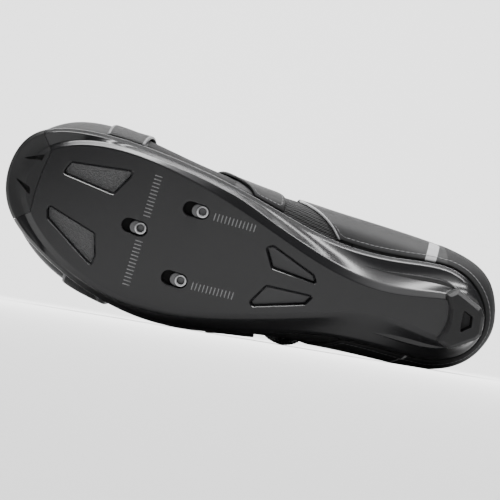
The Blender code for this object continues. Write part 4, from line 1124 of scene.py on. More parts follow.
@dataclass
class Outsole:
    """The stiff plate: windows, cleat slots, adjustment marks and the seat of the toe pad."""

    last: Last
    shape: SoleBody
    depth: float = 3.2 * MM
    draft: float = 0.8 * MM
    corner: float = 1.6 * MM
    lip: float = 0.7 * MM
    slot_length: float = 14.5 * MM
    slot_width: float = 7.8 * MM
    slot_depth: float = 5 * MM
    pad_thick: float = 2.6 * MM
    cleat_turn: float = 3.0
    mark_depth: float = 0.22 * MM
    front_marks: int = 31
    side_marks: int = 12
    mark_pitch: float = 2.05 * MM

    def window(self, name: str, outline: Table) -> Piece:
        """A cutter for one moulded window: a soft upper edge, drafted walls and a floor in the tread's line.

        Args:
            name: The piece's name.
            outline: The window's outline table.

        Returns:
            The cutter.
        """
        line = self.last.on_plan(outline)
        levels = ((self.lip, -2 * MM), (self.lip, -0.03 * MM), (0.12 * self.lip, 0.8 * self.lip),
                  (-0.15 * MM, 1.1 * MM), (-self.draft * 0.8, self.depth - 0.5 * MM),
                  (-self.draft - 0.15 * MM, self.depth - 0.1 * MM), (-self.draft - 0.6 * MM, self.depth))
        flats = [(eased(line, out, self.corner), down) for out, down in levels]
        middle = flats[0][0].mean(0)
        inner = flats[-1][0]
        flats += [(middle + (inner - middle) * share, self.depth) for share in (0.66, 0.33, 0.0)]
        flats.insert(0, (middle + (flats[0][0] - middle) * 0.0, -2 * MM))
        loops = []
        for flat, down in flats:
            loops.append(at_height(flat, self.last.bottom_height(flat[:, 0]) + down))
        return surface(name, np.array([ring_closed(loop) for loop in loops]))

    def slot(self, name: str, where: Row) -> Piece:
        """A cutter for one cleat slot, with a soft rim.

        Args:
            name: The piece's name.
            where: The slot's place on the plan.

        Returns:
            The cutter.
        """
        centre = self.last.on_plan((where,))[0]
        face = float(self.last.bottom_height(centre[:1])[0])
        levels = ((0.55, -2.0), (0.55, -0.02), (0.25, 0.12), (0.05, 0.4), (0.0, 0.8),
                  (0.0, self.slot_depth / MM))
        loops = []
        for out, down in levels:
            line = stadium(self.slot_length + 2 * out * MM, self.slot_width + 2 * out * MM)
            loops.append(at_height(placed(line, centre, self.cleat_turn), face + down * MM))
        return stack(name, loops)

    def mark(self, name: str, centre: Array, length: float, turn: float) -> Piece:
        """A cutter for one short adjustment mark."""
        line = placed(stadium(length, 0.62 * MM, 4), centre, turn)
        face = float(self.last.bottom_height(centre[:1])[0])
        return stack(name, [at_height(line, face - MM), at_height(line, face + self.mark_depth)])

    def marks(self) -> list[Piece]:
        """The ladders of marks across the front slot and behind the two side slots.

        Returns:
            A cutter for each mark.
        """
        made = []
        start, end = np.array([201.0, 29.5]) * MM, np.array([203.0, -32.0]) * MM
        for k in range(self.front_marks):
            centre = start + (end - start) * k / (self.front_marks - 1)
            if abs(centre[1] + 0.9 * MM) > 6.2 * MM:
                made.append((centre, 4.2 * MM, self.cleat_turn))
        for first, y, drift in ((166.0, 16.2, -0.05), (168.0, -23.4, 0.02)):
            for k in range(self.side_marks):
                x = first * MM - self.mark_pitch * k
                made.append((np.array([x, (y + drift * k) * MM]), 4.4 * MM, self.cleat_turn + 90))
        return [self.mark(f"mark_{k}", *item) for k, item in enumerate(made)]

    def toe_block(self, name: str, margin: float) -> Piece:
        """A block over the toe pad's place, drawn back by a margin along the pad's edge.

        Args:
            name: The piece's name.
            margin: How far it is drawn back.

        Returns:
            The block.
        """
        line = self.last.on_plan(TOE_PAD_LINE) + [margin, 0]
        front, side = self.last.length + self.last.edge_height, self.last.ball_width / 2
        outline = np.array([(front, side), (line[0][0] - side / 8, side), *line,
                            (line[-1][0] + side / 8, -side), (front, -side)])
        return self.prism(name, outline, -self.last.edge_height, 2 * self.last.edge_height)

    def prism(self, name: str, outline: Array, low: float, high: float) -> Piece:
        """A straight block over an outline, made from its own face by extrusion.

        Args:
            name: The piece's name.
            outline: Flat points, one row each.
            low: Height of one end.
            high: Height of the other.

        Returns:
            The block.
        """
        points = at_height(outline, low) @ LYING[:, :3].T + LYING[:, 3]
        mesh = bpy.data.meshes.new(name)
        mesh.from_pydata([tuple(p) for p in points], [], [tuple(range(len(points)))])
        piece = bpy.data.objects.new(name, mesh)
        bpy.context.scene.collection.objects.link(piece)
        alone(piece)
        bpy.ops.object.mode_set(mode="EDIT")
        bpy.ops.mesh.select_all(action="SELECT")
        rise = tuple(LYING[:, 2] * (high - low))
        bpy.ops.mesh.extrude_region_move(TRANSFORM_OT_translate={"value": rise})
        bpy.ops.mesh.select_all(action="SELECT")
        bpy.ops.mesh.normals_make_consistent(inside=False)
        bpy.ops.object.mode_set(mode="OBJECT")
        return piece

    def build(self, looks: dict[str, Skin]) -> Piece:
        """Builds the plate.

        Args:
            looks: Every material by name.

        Returns:
            The plate.
        """
        plate = self.shape.body("outsole_plate")
        plate.data.materials.append(looks["composite"])
        for name, outline in WINDOWS.items():
            cutter = self.window(name, outline)
            look = looks["window_mesh"] if name.startswith("front") else looks["window_smooth"]
            cutter.data.materials.append(looks["composite"])
            cutter.data.materials.append(look)
            self.paint_deep(cutter, self.depth - 0.6 * MM)
            carve(plate, cutter)
        for name, where in CLEAT_SLOTS.items():
            cutter = self.slot(name, where)
            cutter.data.materials.append(looks["composite"])
            # The slot's faces deeper than 2 mm get the near-black material: painted shade inside the slot.
            cutter.data.materials.append(looks["slot_painted_shade"])
            self.paint_deep(cutter, 2.0 * MM)
            carve(plate, cutter)
        marks = join(self.marks())
        marks.data.materials.append(looks["tick"])
        carve(plate, marks)
        seat = self.toe_block("toe_seat", 0.0)
        carve(seat, self.shape.body("toe_core", self.pad_thick, self.last.plate))
        carve(plate, seat)
        return present(plate, "sole_composite", "outsole", angle=26)

    def paint_deep(self, cutter: Piece, depth: float) -> None:
        """Gives a cutter's faces that lie deeper in the sole than a depth its second material.

        Args:
            cutter: The cutter.
            depth: The depth under the tread.
        """
        shoe = np.linalg.inv(np.vstack([LYING, [0, 0, 0, 1]]))
        for face in cutter.data.polygons:
            x, _, z, _ = shoe @ np.array([*face.center, 1])
            if z > self.last.bottom_height(np.array([x]))[0] + depth:
                face.material_index = 1


@dataclass
class Pads:
    """The rubber bumper round the toe and the walking pad under the heel."""

    last: Last
    shape: SoleBody
    plate: Outsole
    heel_top: float = 12.5 * MM
    heel_bevel: float = 2.3 * MM
    groove_depth: float = 1.9 * MM

    def toe(self, look: Skin, shade: Skin) -> Piece:
        """The bumper, with its two wedge grooves.

        Args:
            look: Its material.
            shade: The near-black material in the grooves, a painted shade.

        Returns:
            The bumper.
        """
        gap = self.last.gap
        pad = self.shape.body("toe_bumper")
        pad.data.materials.append(look)
        carve(pad, self.plate.toe_block("pad_block", gap), "INTERSECT")
        carve(pad, self.shape.body("pad_core", self.plate.pad_thick - gap, self.last.plate))
        smooth, grooves = self.shape.body("pad_face"), []
        bpy.context.view_layer.update()
        for k, outline in enumerate(TOE_GROOVES):
            line = self.last.on_plan(outline)
            loops = []
            for out, share in ((0.2, -4.0), (0.2, 0.1), (-0.05, 0.8), (-0.2, 1.0)):
                flat = eased(line, out * MM, 0.5 * MM, 4)
                ahead = (flat[:, 0] - line[:, 0].min()) / np.ptp(line[:, 0])
                depth = self.groove_depth * (1 - 0.45 * np.clip(ahead, 0, 1)) * share
                loops.append(at_height(flat, self.face_height(smooth, flat) + depth))
            groove = stack(f"groove_{k}", loops)
            # The whole groove cutter carries the near-black material: painted shade in the grooves.
            groove.data.materials.append(shade)
            grooves.append(groove)
        bpy.data.objects.remove(smooth)
        for groove in grooves:
            carve(pad, groove)
        return present(pad, "pad_rubber", "toe_pad", angle=34)

    def face_height(self, pad: Piece, flat: Array) -> Array:
        """Heights at which straight lines from below meet the pad's face.

        Args:
            pad: The closed body.
            flat: Flat points, one row each.

        Returns:
            The heights.
        """
        start, rise = -0.05, Vector(LYING[:, 2])
        heights = self.last.bottom_height(flat[:, 0])
        for k, (x, y) in enumerate(flat):
            low = Vector(LYING[:, :3] @ np.array([x, y, start]) + LYING[:, 3])
            hit, place, _, _ = pad.ray_cast(low, rise)
            if hit:
                heights[k] = (place - low).length + start
        return heights

    def heel(self, look: Skin) -> Piece:
        """The bevelled heel pad with its wedge window.

        Args:
            look: Its material.

        Returns:
            The pad.
        """
        line = self.last.on_plan(HEEL_PAD_LINE)
        bevel = self.heel_bevel / MM
        levels = ((0.0, self.heel_top / MM), (0.0, bevel + 0.7), (-0.12, bevel + 0.1), (-0.45, bevel - 0.3),
                  (-bevel + 0.45, 0.3), (-bevel + 0.05, 0.06), (-bevel - 0.5, 0.0))
        pad = stack("heel_tread", [at_height(eased(line, out * MM, 1.3 * MM), z * MM) for out, z in levels])
        carve(pad, self.shape.body("heel_seat", -self.last.gap))
        hole = self.last.on_plan(HEEL_HOLE_LINE)
        levels = ((0.45, -2.0), (0.45, -0.02), (0.15, 0.15), (0.0, 0.5), (-0.3, 4.6), (-0.7, 5.0))
        loops = [at_height(eased(hole, out * MM, 0.7 * MM, 4), z * MM) for out, z in levels]
        carve(pad, stack("heel_hole", loops))
        return present(pad, "pad_rubber", "heel_pad", angle=30, looks=(look,))


def lathe(name: str, centre: Array, axes: tuple[Array, ...], profile: Table, count: int = 64,
          shape: Array | None = None, capped: bool = True) -> Piece:
    """A turned body.

    Args:
        name: Its name.
        centre: The point on its axis at height 0.
        axes: Directions across, up and along its axis.
        profile: Radius and height of each ring.
        count: Points round a ring.
        shape: Radius factors, for each ring and each point round it.
        capped: Whether its ends are filled; otherwise the profile is closed on itself.

    Returns:
        The body.
    """
    first, second, out = axes
    angles = 2 * math.pi * np.arange(count) / count
    rings = []
    for k, (radius, height) in enumerate(profile):
        scale = radius if shape is None else radius * shape[k]
        flat = np.outer(np.cos(angles) * scale, first) + np.outer(np.sin(angles) * scale, second)
        rings.append(centre + flat + out * height)
    if capped:
        return stack(name, rings)
    rings.append(rings[0])
    return surface(name, np.array([ring_closed(ring) for ring in rings]))


@dataclass
class CleatNuts:
    """The three sliding nuts, each at the heel end of its slot."""

    last: Last
    plate: Outsole
    length: float = 9.6 * MM
    thick: float = 3 * MM
    boss: float = 3.2 * MM
    rise: float = 1.4 * MM
    thread: float = 2.05 * MM

    def nut(self, name: str, where: Row, looks: tuple[Skin, ...]) -> Piece:
        """One nut: its slot-shaped plate, the ringed boss and the threaded hole.

        Args:
            name: Its slot's name.
            where: The slot's place on the plan.
            looks: Its two materials: the steel, and a darker copy of it that is painted shade.

        Returns:
            The nut.
        """
        gap = self.last.gap
        centre = self.last.on_plan((where,))[0]
        top = float(self.last.bottom_height(centre[:1])[0]) + self.plate.slot_depth - gap
        middle = centre - [(self.plate.slot_length - self.length) / 2 - gap, 0]
        under, width = top - self.thick, self.plate.slot_width - 2 * gap
        loops = []
        for inset, z in ((0.0, top), (0.0, under + 0.5 * MM), (0.12, under + 0.15 * MM), (0.45, under)):
            line = stadium(self.length - 2 * inset * MM, width - 2 * inset * MM)
            loops.append(at_height(placed(line, middle, self.plate.cleat_turn), z))
        nut = stack(f"nut_{name}", loops)
        at = centre - [self.plate.slot_length / 2 - self.boss - 2 * gap, 0]
        axis = tuple(np.array(v, float) for v in ((1, 0, 0), (0, -1, 0), (0, 0, -1)))
        hole = [(self.thread, -self.thick + 0.6 * MM), (self.thread, 5 * MM)]
        carve(nut, lathe("nut_hole", np.array([*at, under]), axis, tuple(hole), 48))
        rise = self.rise
        boss, thread = self.boss, self.thread
        profile = [(boss, -0.5 * MM), (boss, rise - 0.35 * MM), (boss - 0.1 * MM, rise - 0.1 * MM),
                   (boss - 0.35 * MM, rise), (boss - 0.6 * MM, rise), (boss - 0.68 * MM, rise - 0.5 * MM),
                   (boss - 0.8 * MM, rise - 0.5 * MM), (boss - 0.86 * MM, rise - 0.05 * MM),
                   (boss - 1.0 * MM, rise), (thread + 0.12 * MM, rise - 0.05 * MM)]
        for k in range(7):
            depth = rise - 0.3 * MM - k * 0.5 * MM
            profile += [(thread - 0.25 * MM, depth - 0.1 * MM), (thread + 0.01 * MM, depth - 0.35 * MM)]
        profile.append((thread + 0.4 * MM, -2.2 * MM))
        ring = lathe("nut_boss", np.array([*at, under]), axis, tuple(profile), 48, capped=False)
        carve(nut, ring, "UNION")
        nut.data.materials.clear()
        for look in looks:
            nut.data.materials.append(look)
        # Only the boss's raised faces keep the steel. Every other face gets the darker copy, a painted shade.
        shoe = np.linalg.inv(np.vstack([LYING, [0, 0, 0, 1]]))
        for face in nut.data.polygons:
            x, y, z, _ = shoe @ np.array([*face.center, 1])
            off = math.hypot(x - at[0], y - at[1])
            bright = self.thread - 0.05 * MM < off < self.boss + 0.1 * MM and z < under - rise + 0.28 * MM
            face.material_index = 0 if bright else 1
        return present(nut, "nut_steel", f"cleat_nut_{name}", angle=30)

    def build(self, steel: Skin, shade: Skin) -> None:
        """Builds all three."""
        for name, where in CLEAT_SLOTS.items():
            self.nut(name, where, (steel, shade))


def lengths(points: Array, axis: int) -> Array:
    """Distance run along one axis of a grid of points, in millimetres."""
    run = np.linalg.norm(np.diff(points, axis=axis), axis=-1) / MM
    start = np.zeros_like(np.take(run, [0], axis=axis))
    return np.concatenate([start, np.cumsum(run, axis=axis)], axis=axis)


def clustered(length: float, steps: int, edge: Row = (0.0, 0.25, 0.7, 1.4)) -> Array:
    """Shares along a length in millimetres, close together at both ends."""
    near = np.array(edge) / length
    inner = np.linspace(near[-1], 1 - near[-1], steps + 1)[1:-1]
    return np.concatenate([near, inner, 1 - near[::-1]])


def between(name: str, outer: Array, inner: Array, marks: dict[str, Array],
            uv: Array) -> Piece:
    """A closed sheet between two grids of points, shaped (across, up, 3).

    Args:
        name: The piece's name.
        outer: Points of its outer face.
        inner: Points of its inner face.
        marks: Numbers at each point.
        uv: Its UV map in millimetres.

    Returns:
        The sheet.
    """
    def wrapped(first: Array, second: Array) -> Array:
        """Both faces side by side, with cap rows at the two ends.

        Args:
            first: Values on one face.
            second: Values on the other.

        Returns:
            The joined rows.
        """
        body = np.concatenate([first, second[::-1], first[:1]]).swapaxes(0, 1)
        middle = (first + second) / 2
        cap = np.concatenate([middle, middle[::-1], middle[:1]]).swapaxes(0, 1)
        return np.concatenate([cap[:1], body, cap[-1:]])

    held = {key: wrapped(value, value) for key, value in marks.items()}
    return surface(name, wrapped(outer, inner), True, wrapped(uv, uv), held)


@dataclass
class Overlays:
    """What is laid on the upper: the quarter panel, the forefoot strap and the two wings."""

    last: Last
    panel: float = 0.9 * MM
    strap: float = 1.2 * MM
    wing: float = 1.3 * MM
    seat: float = 0.12 * MM

    def sheet(self, name: str, turn: Array, climb: Array, thick: float,
              lift: Array | float = 0.0, extra: dict[str, Array] | None = None,
              hem: float = 0.0) -> Piece:
        """A sheet on the wall with a rounded edge, thinned where it runs under the sole edge.

        Args:
            name: The piece's name.
            turn: Where its points stand round the shoe.
            climb: Their share of the wall's height.
            thick: Its thickness.
            lift: How far its points stand off the wall.
            extra: Marks of its own.
            hem: Width of the thinned part at its feet, in millimetres.

        Returns:
            The sheet.
        """
        turn, climb = np.broadcast_arrays(turn, climb)
        base = self.last.off_wall(turn, climb, 0.0)
        a, b = lengths(base, 0), lengths(base, 1)
        rear, front = a, a[-1:] - a
        foot, head = b, b[:, -1:] - b
        edge = np.minimum(np.minimum(rear, front), np.minimum(foot, head))
        run = np.where(np.minimum(rear, front) < np.minimum(foot, head), b, a)
        reach = thick / MM
        crown = np.sqrt(np.maximum(1 - (1 - np.clip(edge / reach, 0, 1)) ** 2, 0))
        out = self.last.gap + thick * (0.25 + 0.75 * crown)
        if hem:
            low = np.clip(climb * 58 / hem, 0, 1)
            out = self.last.gap + (out - self.last.gap) * (0.4 + 0.6 * low * low * (3 - 2 * low))
        flat = turn.ravel().astype(float), climb.ravel().astype(float)
        normals = self.last.wall_normals(*flat).reshape(base.shape)
        outer = base + normals * np.asarray(out + lift)[..., None]
        inner = base + normals * np.asarray(self.seat + lift + np.zeros_like(out))[..., None]
        marks = {"edge_mm": edge, "run_mm": run, "front_mm": front, "side_mm": np.minimum(rear, front)}
        marks.update(extra or {})
        return between(name, outer, inner, marks, np.stack([a, b], -1))

    def quarter(self) -> Piece:
        """The smooth panel round the heel and sides, with its counter, reflective tab and piping marked.

        Returns:
            The panel.
        """
        last = self.last
        given, inner, outer = (column(QUARTER_ROWS, QUARTER_COLUMNS, n) for n in QUARTER_COLUMNS)
        climb = given[0] + (given[-1] - given[0]) * clustered(80, 46)
        ends = [last.turn_at(spline(given, front, climb) * last.length, climb, side)
                for front, side in ((inner, 1), (outer, -1))]
        share = clustered(300, 170)[:, None]
        turn = ends[1] + (ends[0] - ends[1]) * share
        climb = np.broadcast_to(climb[None, :], turn.shape)
        x = last.off_wall(turn, climb, 0.0)[..., 0] / MM
        inside = turn > 0
        low = climb * 62
        tab = np.minimum(np.minimum(x - 41.5 + low * 0.06, 47.5 - x - low * 0.06), 15 - low)
        tab = np.where(inside, tab, -9)
        line = 42 + low * 0.83
        front = np.minimum(1.1 - (1 - share) * 300, 22 - low)
        pipe = np.where(inside, front, np.minimum(0.55 - np.abs(x - line) * 0.75, 26 - low))
        counter = 39 - x + (low - 20) * 0.25
        relief = np.clip(counter / 1.2 + 0.5, 0, 1) * 0.35 * MM + np.clip(tab / 0.6 + 0.5, 0, 1) * 0.2 * MM
        return self.sheet("quarter_skin", turn, climb, self.panel, relief,
                          {"tab": tab, "pipe": pipe, "counter": counter})

    def forefoot(self) -> Piece:
        """The strap over the toes' joints; its inner rear edge stands off the upper.

        Returns:
            The strap.
        """
        last = self.last
        shares = clustered(165, 110)
        side = np.where(shares < 0.5, 1, -1)
        climb = np.maximum(1 - (1 - np.abs(2 * shares - 1)), 0)
        climb = 1 - climb * 0.98
        across = 0.5 - 0.5 * side * (1 - climb)
        given = column(STRAP_ROWS, STRAP_COLUMNS, "across")
        rear, front = (spline(given, column(STRAP_ROWS, STRAP_COLUMNS, n), across) * last.length
                       for n in ("rear", "front"))
        share = clustered(24, 14)[:, None]
        level = np.broadcast_to(climb[None, :], (len(share), len(climb)))
        turn = last.turn_at(rear + (front - rear) * share, level, np.broadcast_to(side, level.shape))
        lift = 1.3 * MM * np.clip(1 - share / 0.45, 0, 1) ** 1.5 * np.where(side > 0, 1, 0.45) * np.exp(
            -((climb - 0.3) / 0.17) ** 2)
        side_mm = np.minimum(share, 1 - share) * 21 + 0 * level
        return self.sheet("strap_band", turn, level, self.strap, lift, {"trim": 1.5 - side_mm}, 9.0)

    def instep(self, name: str, rows: Table, side: int) -> Piece:
        """A wing that rises from the sole edge to the throat; its front edge stands a little off.

        Args:
            name: The piece's name.
            rows: The wing's outline table.
            side: 1 inner, -1 outer.

        Returns:
            The wing.
        """
        last = self.last
        given = column(rows, WING_COLUMNS, "climb")
        climb = given[0] + (given[-1] - given[0]) * clustered(60, 34)
        rear, front = (spline(given, column(rows, WING_COLUMNS, n), climb) * last.length
                       for n in ("rear", "front"))
        share = clustered(25, 14)[:, None]
        level = np.broadcast_to(climb[None, :], (len(share), len(climb)))
        turn = last.turn_at(rear + (front - rear) * share, level, np.full(level.shape, side))
        lift = 0.8 * MM * np.clip((share - 0.6) / 0.4, 0, 1) ** 1.5 * np.exp(-((level - 0.2) / 0.2) ** 2)
        return self.sheet(name, turn, level, self.wing, lift, hem=8.0)


def box_mark(x: Array, up: Array, x0: float, x1: float, low: float, high: float) -> Array:
    """Distance inside a box on the wall in millimetres, below 0 outside it."""
    return np.minimum(np.minimum(x - x0, x1 - x), np.minimum(up - low, high - up))


@dataclass
class Upper:
    """The upper: one hollow wall with a padded collar, knit windows, creases and a bound throat."""

    last: Last
    collar_pad: float = 3.6 * MM
    throat_back: float = 92 * MM
    throat_middle: float = 150 * MM
    throat_front: float = 190 * MM
    throat_half: float = 12 * MM
    stations: int = 170
    outer_steps: int = 54
    inner_steps: int = 26

    def relief(self, points: Array, turn: Array, climb: Array) -> Array:
        """Soft creases, as heights over the wall.

        Args:
            points: Points of the wall.
            turn: Places round the shoe.
            climb: Shares of the wall's height.

        Returns:
            The heights.
        """
        side = np.where(turn % 2 > 1, -1, 1)
        total = np.zeros(climb.shape)
        for x, level, way, depth, wide, tall in CREASE_ROWS:
            off = (points[..., 0] - x * self.last.length) / wide
            near = np.exp(-off ** 2 - ((climb - level) / tall) ** 2)
            total -= depth * near * ((way == 0) | (side == way))
        return total

    def knit(self, points: Array, turn: Array, climb: Array) -> Array:
        """Distance inside the knit windows in millimetres.

        Args:
            points: Points of the wall.
            turn: Places round the shoe.
            climb: Shares of the wall's height.

        Returns:
            The distances.
        """
        x, up = points[..., 0] / MM, climb * 70
        inside = turn % 2 <= 1
        flank = np.where(inside, box_mark(x, up, 88, 132, -9, 64), box_mark(x, up, 74, 130, -9, 64))
        bridge = box_mark(x, up, 160, 212, -9, 90)
        return np.maximum(flank, bridge)

    def shell(self) -> Piece:
        """The wall as one closed grid: outside, collar rim, lining and foot rim.

        Returns:
            The wall.
        """
        last = self.last
        turn = np.linspace(0, 2, 2 * self.stations + 1)
        share = 1 - np.abs(1 - turn)
        climb = np.linspace(0, 1, self.outer_steps) ** 0.92
        grid_turn, grid_climb = np.broadcast_arrays(turn[None, :], climb[:, None])
        base = last.off_wall(grid_turn, grid_climb, 0.0)
        knit = self.knit(base, grid_turn, grid_climb)
        lower = -0.35 * MM * np.clip(knit / 1.2 + 0.5, 0, 1) + self.relief(base, grid_turn, grid_climb)
        normals = last.wall_normals(grid_turn.ravel(), grid_climb.ravel()).reshape(base.shape)
        lower[-1] = (lower[-1] + lower[-1][::-1]) / 2
        outer = base + normals * lower[..., None]
        down = np.linspace(1, 0, self.inner_steps)
        swell = np.clip(1.15 - share / 0.42, 0, 1)[None, :] * np.exp(-((down[:, None] - 0.86) / 0.13) ** 2)
        inner = last.off_wall(turn[None, :], down[:, None], -last.wall - self.collar_pad * swell)
        inner[-1, :, 2] = outer[0, :, 2]
        top, lining = outer[-1], inner[0]
        middle, half = (top + lining) / 2, (top - lining) / 2
        rise = unit(outer[-1] - outer[-3])
        thick = np.linalg.norm(half, axis=1)[:, None]
        rim = [middle + half * math.cos(a) + rise * thick * math.sin(a) for a in (0.8, 1.57, 2.35)]
        points = np.concatenate([outer, np.array(rim), inner, outer[:1]])
        ridge = (share[:-1] >= last.ridge_share() - 1e-6) & (share[1:] >= last.ridge_share() - 1e-6)
        drop = np.zeros((len(points) - 1, len(turn) - 1), bool)
        drop[self.outer_steps - 1:self.outer_steps + 3] = ridge[None, :]
        a, b = lengths(points, 1), lengths(points, 0)
        inside = np.full(points.shape[:2], -1.0)
        inside[self.outer_steps:] = 1.0
        inside[-1] = -1.0
        mesh = np.full(points.shape[:2], -9.0)
        mesh[:self.outer_steps] = knit
        marks = {"lining": inside, "knit": mesh}
        return surface("upper_shell", points, True, np.stack([a, b], -1), marks, drop)

    def throat_line(self) -> Array:
        """The throat's outline from above: open at the collar, round at its front.

        Returns:
            The outline.
        """
        last, half = self.last, self.throat_half
        front = self.throat_front - half
        sides = []
        for side in (-1, 1):
            rows = ((self.throat_back - half, 1.6), (self.throat_back + half, 1.5), (self.throat_middle, 1.2))
            sides.append([(x, last.ridge_middle(x) + side * wide * half) for x, wide in rows])
        arc = [math.pi * (k / 24 - 0.5) for k in range(25)]
        middle = last.ridge_middle(front)
        return np.array(sides[0] + [(front + half * math.cos(a), middle + half * math.sin(a)) for a in arc]
                        + sides[1][::-1])

    def on_top(self, line: Array, out: float) -> Array:
        """The points of the wall above a line on the plan.

        Args:
            line: Flat points, one row each.
            out: How far off the wall.

        Returns:
            The points.
        """
        last, found = self.last, []
        climb = np.linspace(0.45, 1, 56)
        for x, y in line:
            side = 1 if y > last.ridge_middle(x) else -1
            turn = last.turn_at(np.full(len(climb), x), climb, side)
            across = last.off_wall(turn, climb, out)
            order = np.argsort(across[:, 1] * -side)
            level = np.interp(-y * side, (across[:, 1] * -side)[order], across[:, 2][order])
            found.append((x, y, level))
        return np.array(found)

    def build(self, looks: tuple[Skin, ...], block: Block) -> Piece:
        """Builds the upper and binds the cut edge of its throat.

        Args:
            looks: Materials of the wall and the binding.
            block: Makes a block over an outline.

        Returns:
            The upper.
        """
        shell = self.shell()
        shell.data.materials.append(looks[0])
        line = self.throat_line()
        carve(shell, block("throat_cut", line, self.last.edge_height, 2 * self.last.instep_height))
        inner = line[1:-1]
        dense = [inner[0]]
        for a, b in zip(inner[:-1], inner[1:]):
            count = max(1, int(np.linalg.norm(b - a) / (2.5 * MM)))
            dense += [a + (b - a) * (k + 1) / count for k in range(count)]
        path = self.on_top(np.array(dense), -self.last.wall / 2)
        binding = tube("binding", path, 1.25 * MM, 10)
        binding.data.materials.append(looks[1])
        return present(join([shell, binding]), "upper_microfibre", "upper", angle=50)


def tube(name: str, path: Array, radius: float, sides: int = 10) -> Piece:
    """A round cord along a path of points, its ends closed, with a UV map in millimetres.

    Args:
        name: The piece's name.
        path: Points along its middle.
        radius: Its radius.
        sides: Sides of its section.

    Returns:
        The cord.
    """
    rings, across = [], None
    run_mm = lengths(path[None], 1)[0]
    for k, point in enumerate(path):
        run = unit(path[min(k + 1, len(path) - 1)] - path[max(k - 1, 0)])
        if across is None:
            across = np.cross(run, [0, 0, 1])
        across = unit(across - run * (across @ run))
        other = np.cross(run, across)
        turns = 2 * math.pi * np.arange(sides + 1) / sides
        rings.append(point + radius * (np.outer(np.cos(turns), across) + np.outer(np.sin(turns), other)))
    rows = [np.repeat(path[:1], sides + 1, 0), *rings, np.repeat(path[-1:], sides + 1, 0)]
    girth = np.linspace(0, 2 * math.pi * radius / MM, sides + 1)
    run_mm = np.concatenate([run_mm[:1], run_mm, run_mm[-1:]])
    uv = np.stack(np.broadcast_arrays(run_mm[:, None], girth[None, :]), -1)
    return surface(name, np.array(rows), True, uv)


def smooth_path(points: Array, steps: int = 5) -> Array:
    """A path through the same points with its corners eased.

    Args:
        points: The path.
        steps: Points on each run.

    Returns:
        The smooth path.
    """
    padded = np.concatenate([points[:1], points, points[-1:]])
    made = []
    for k in range(1, len(padded) - 2):
        a, b, c, d = padded[k - 1:k + 3]
        for t in np.linspace(0, 1, steps, endpoint=False):
            made.append(0.5 * (2 * b + (c - a) * t + (2 * a - 5 * b + 4 * c - d) * t ** 2
                               + (3 * b - a - 3 * c + d) * t ** 3))
    return np.array(made + [points[-1]])


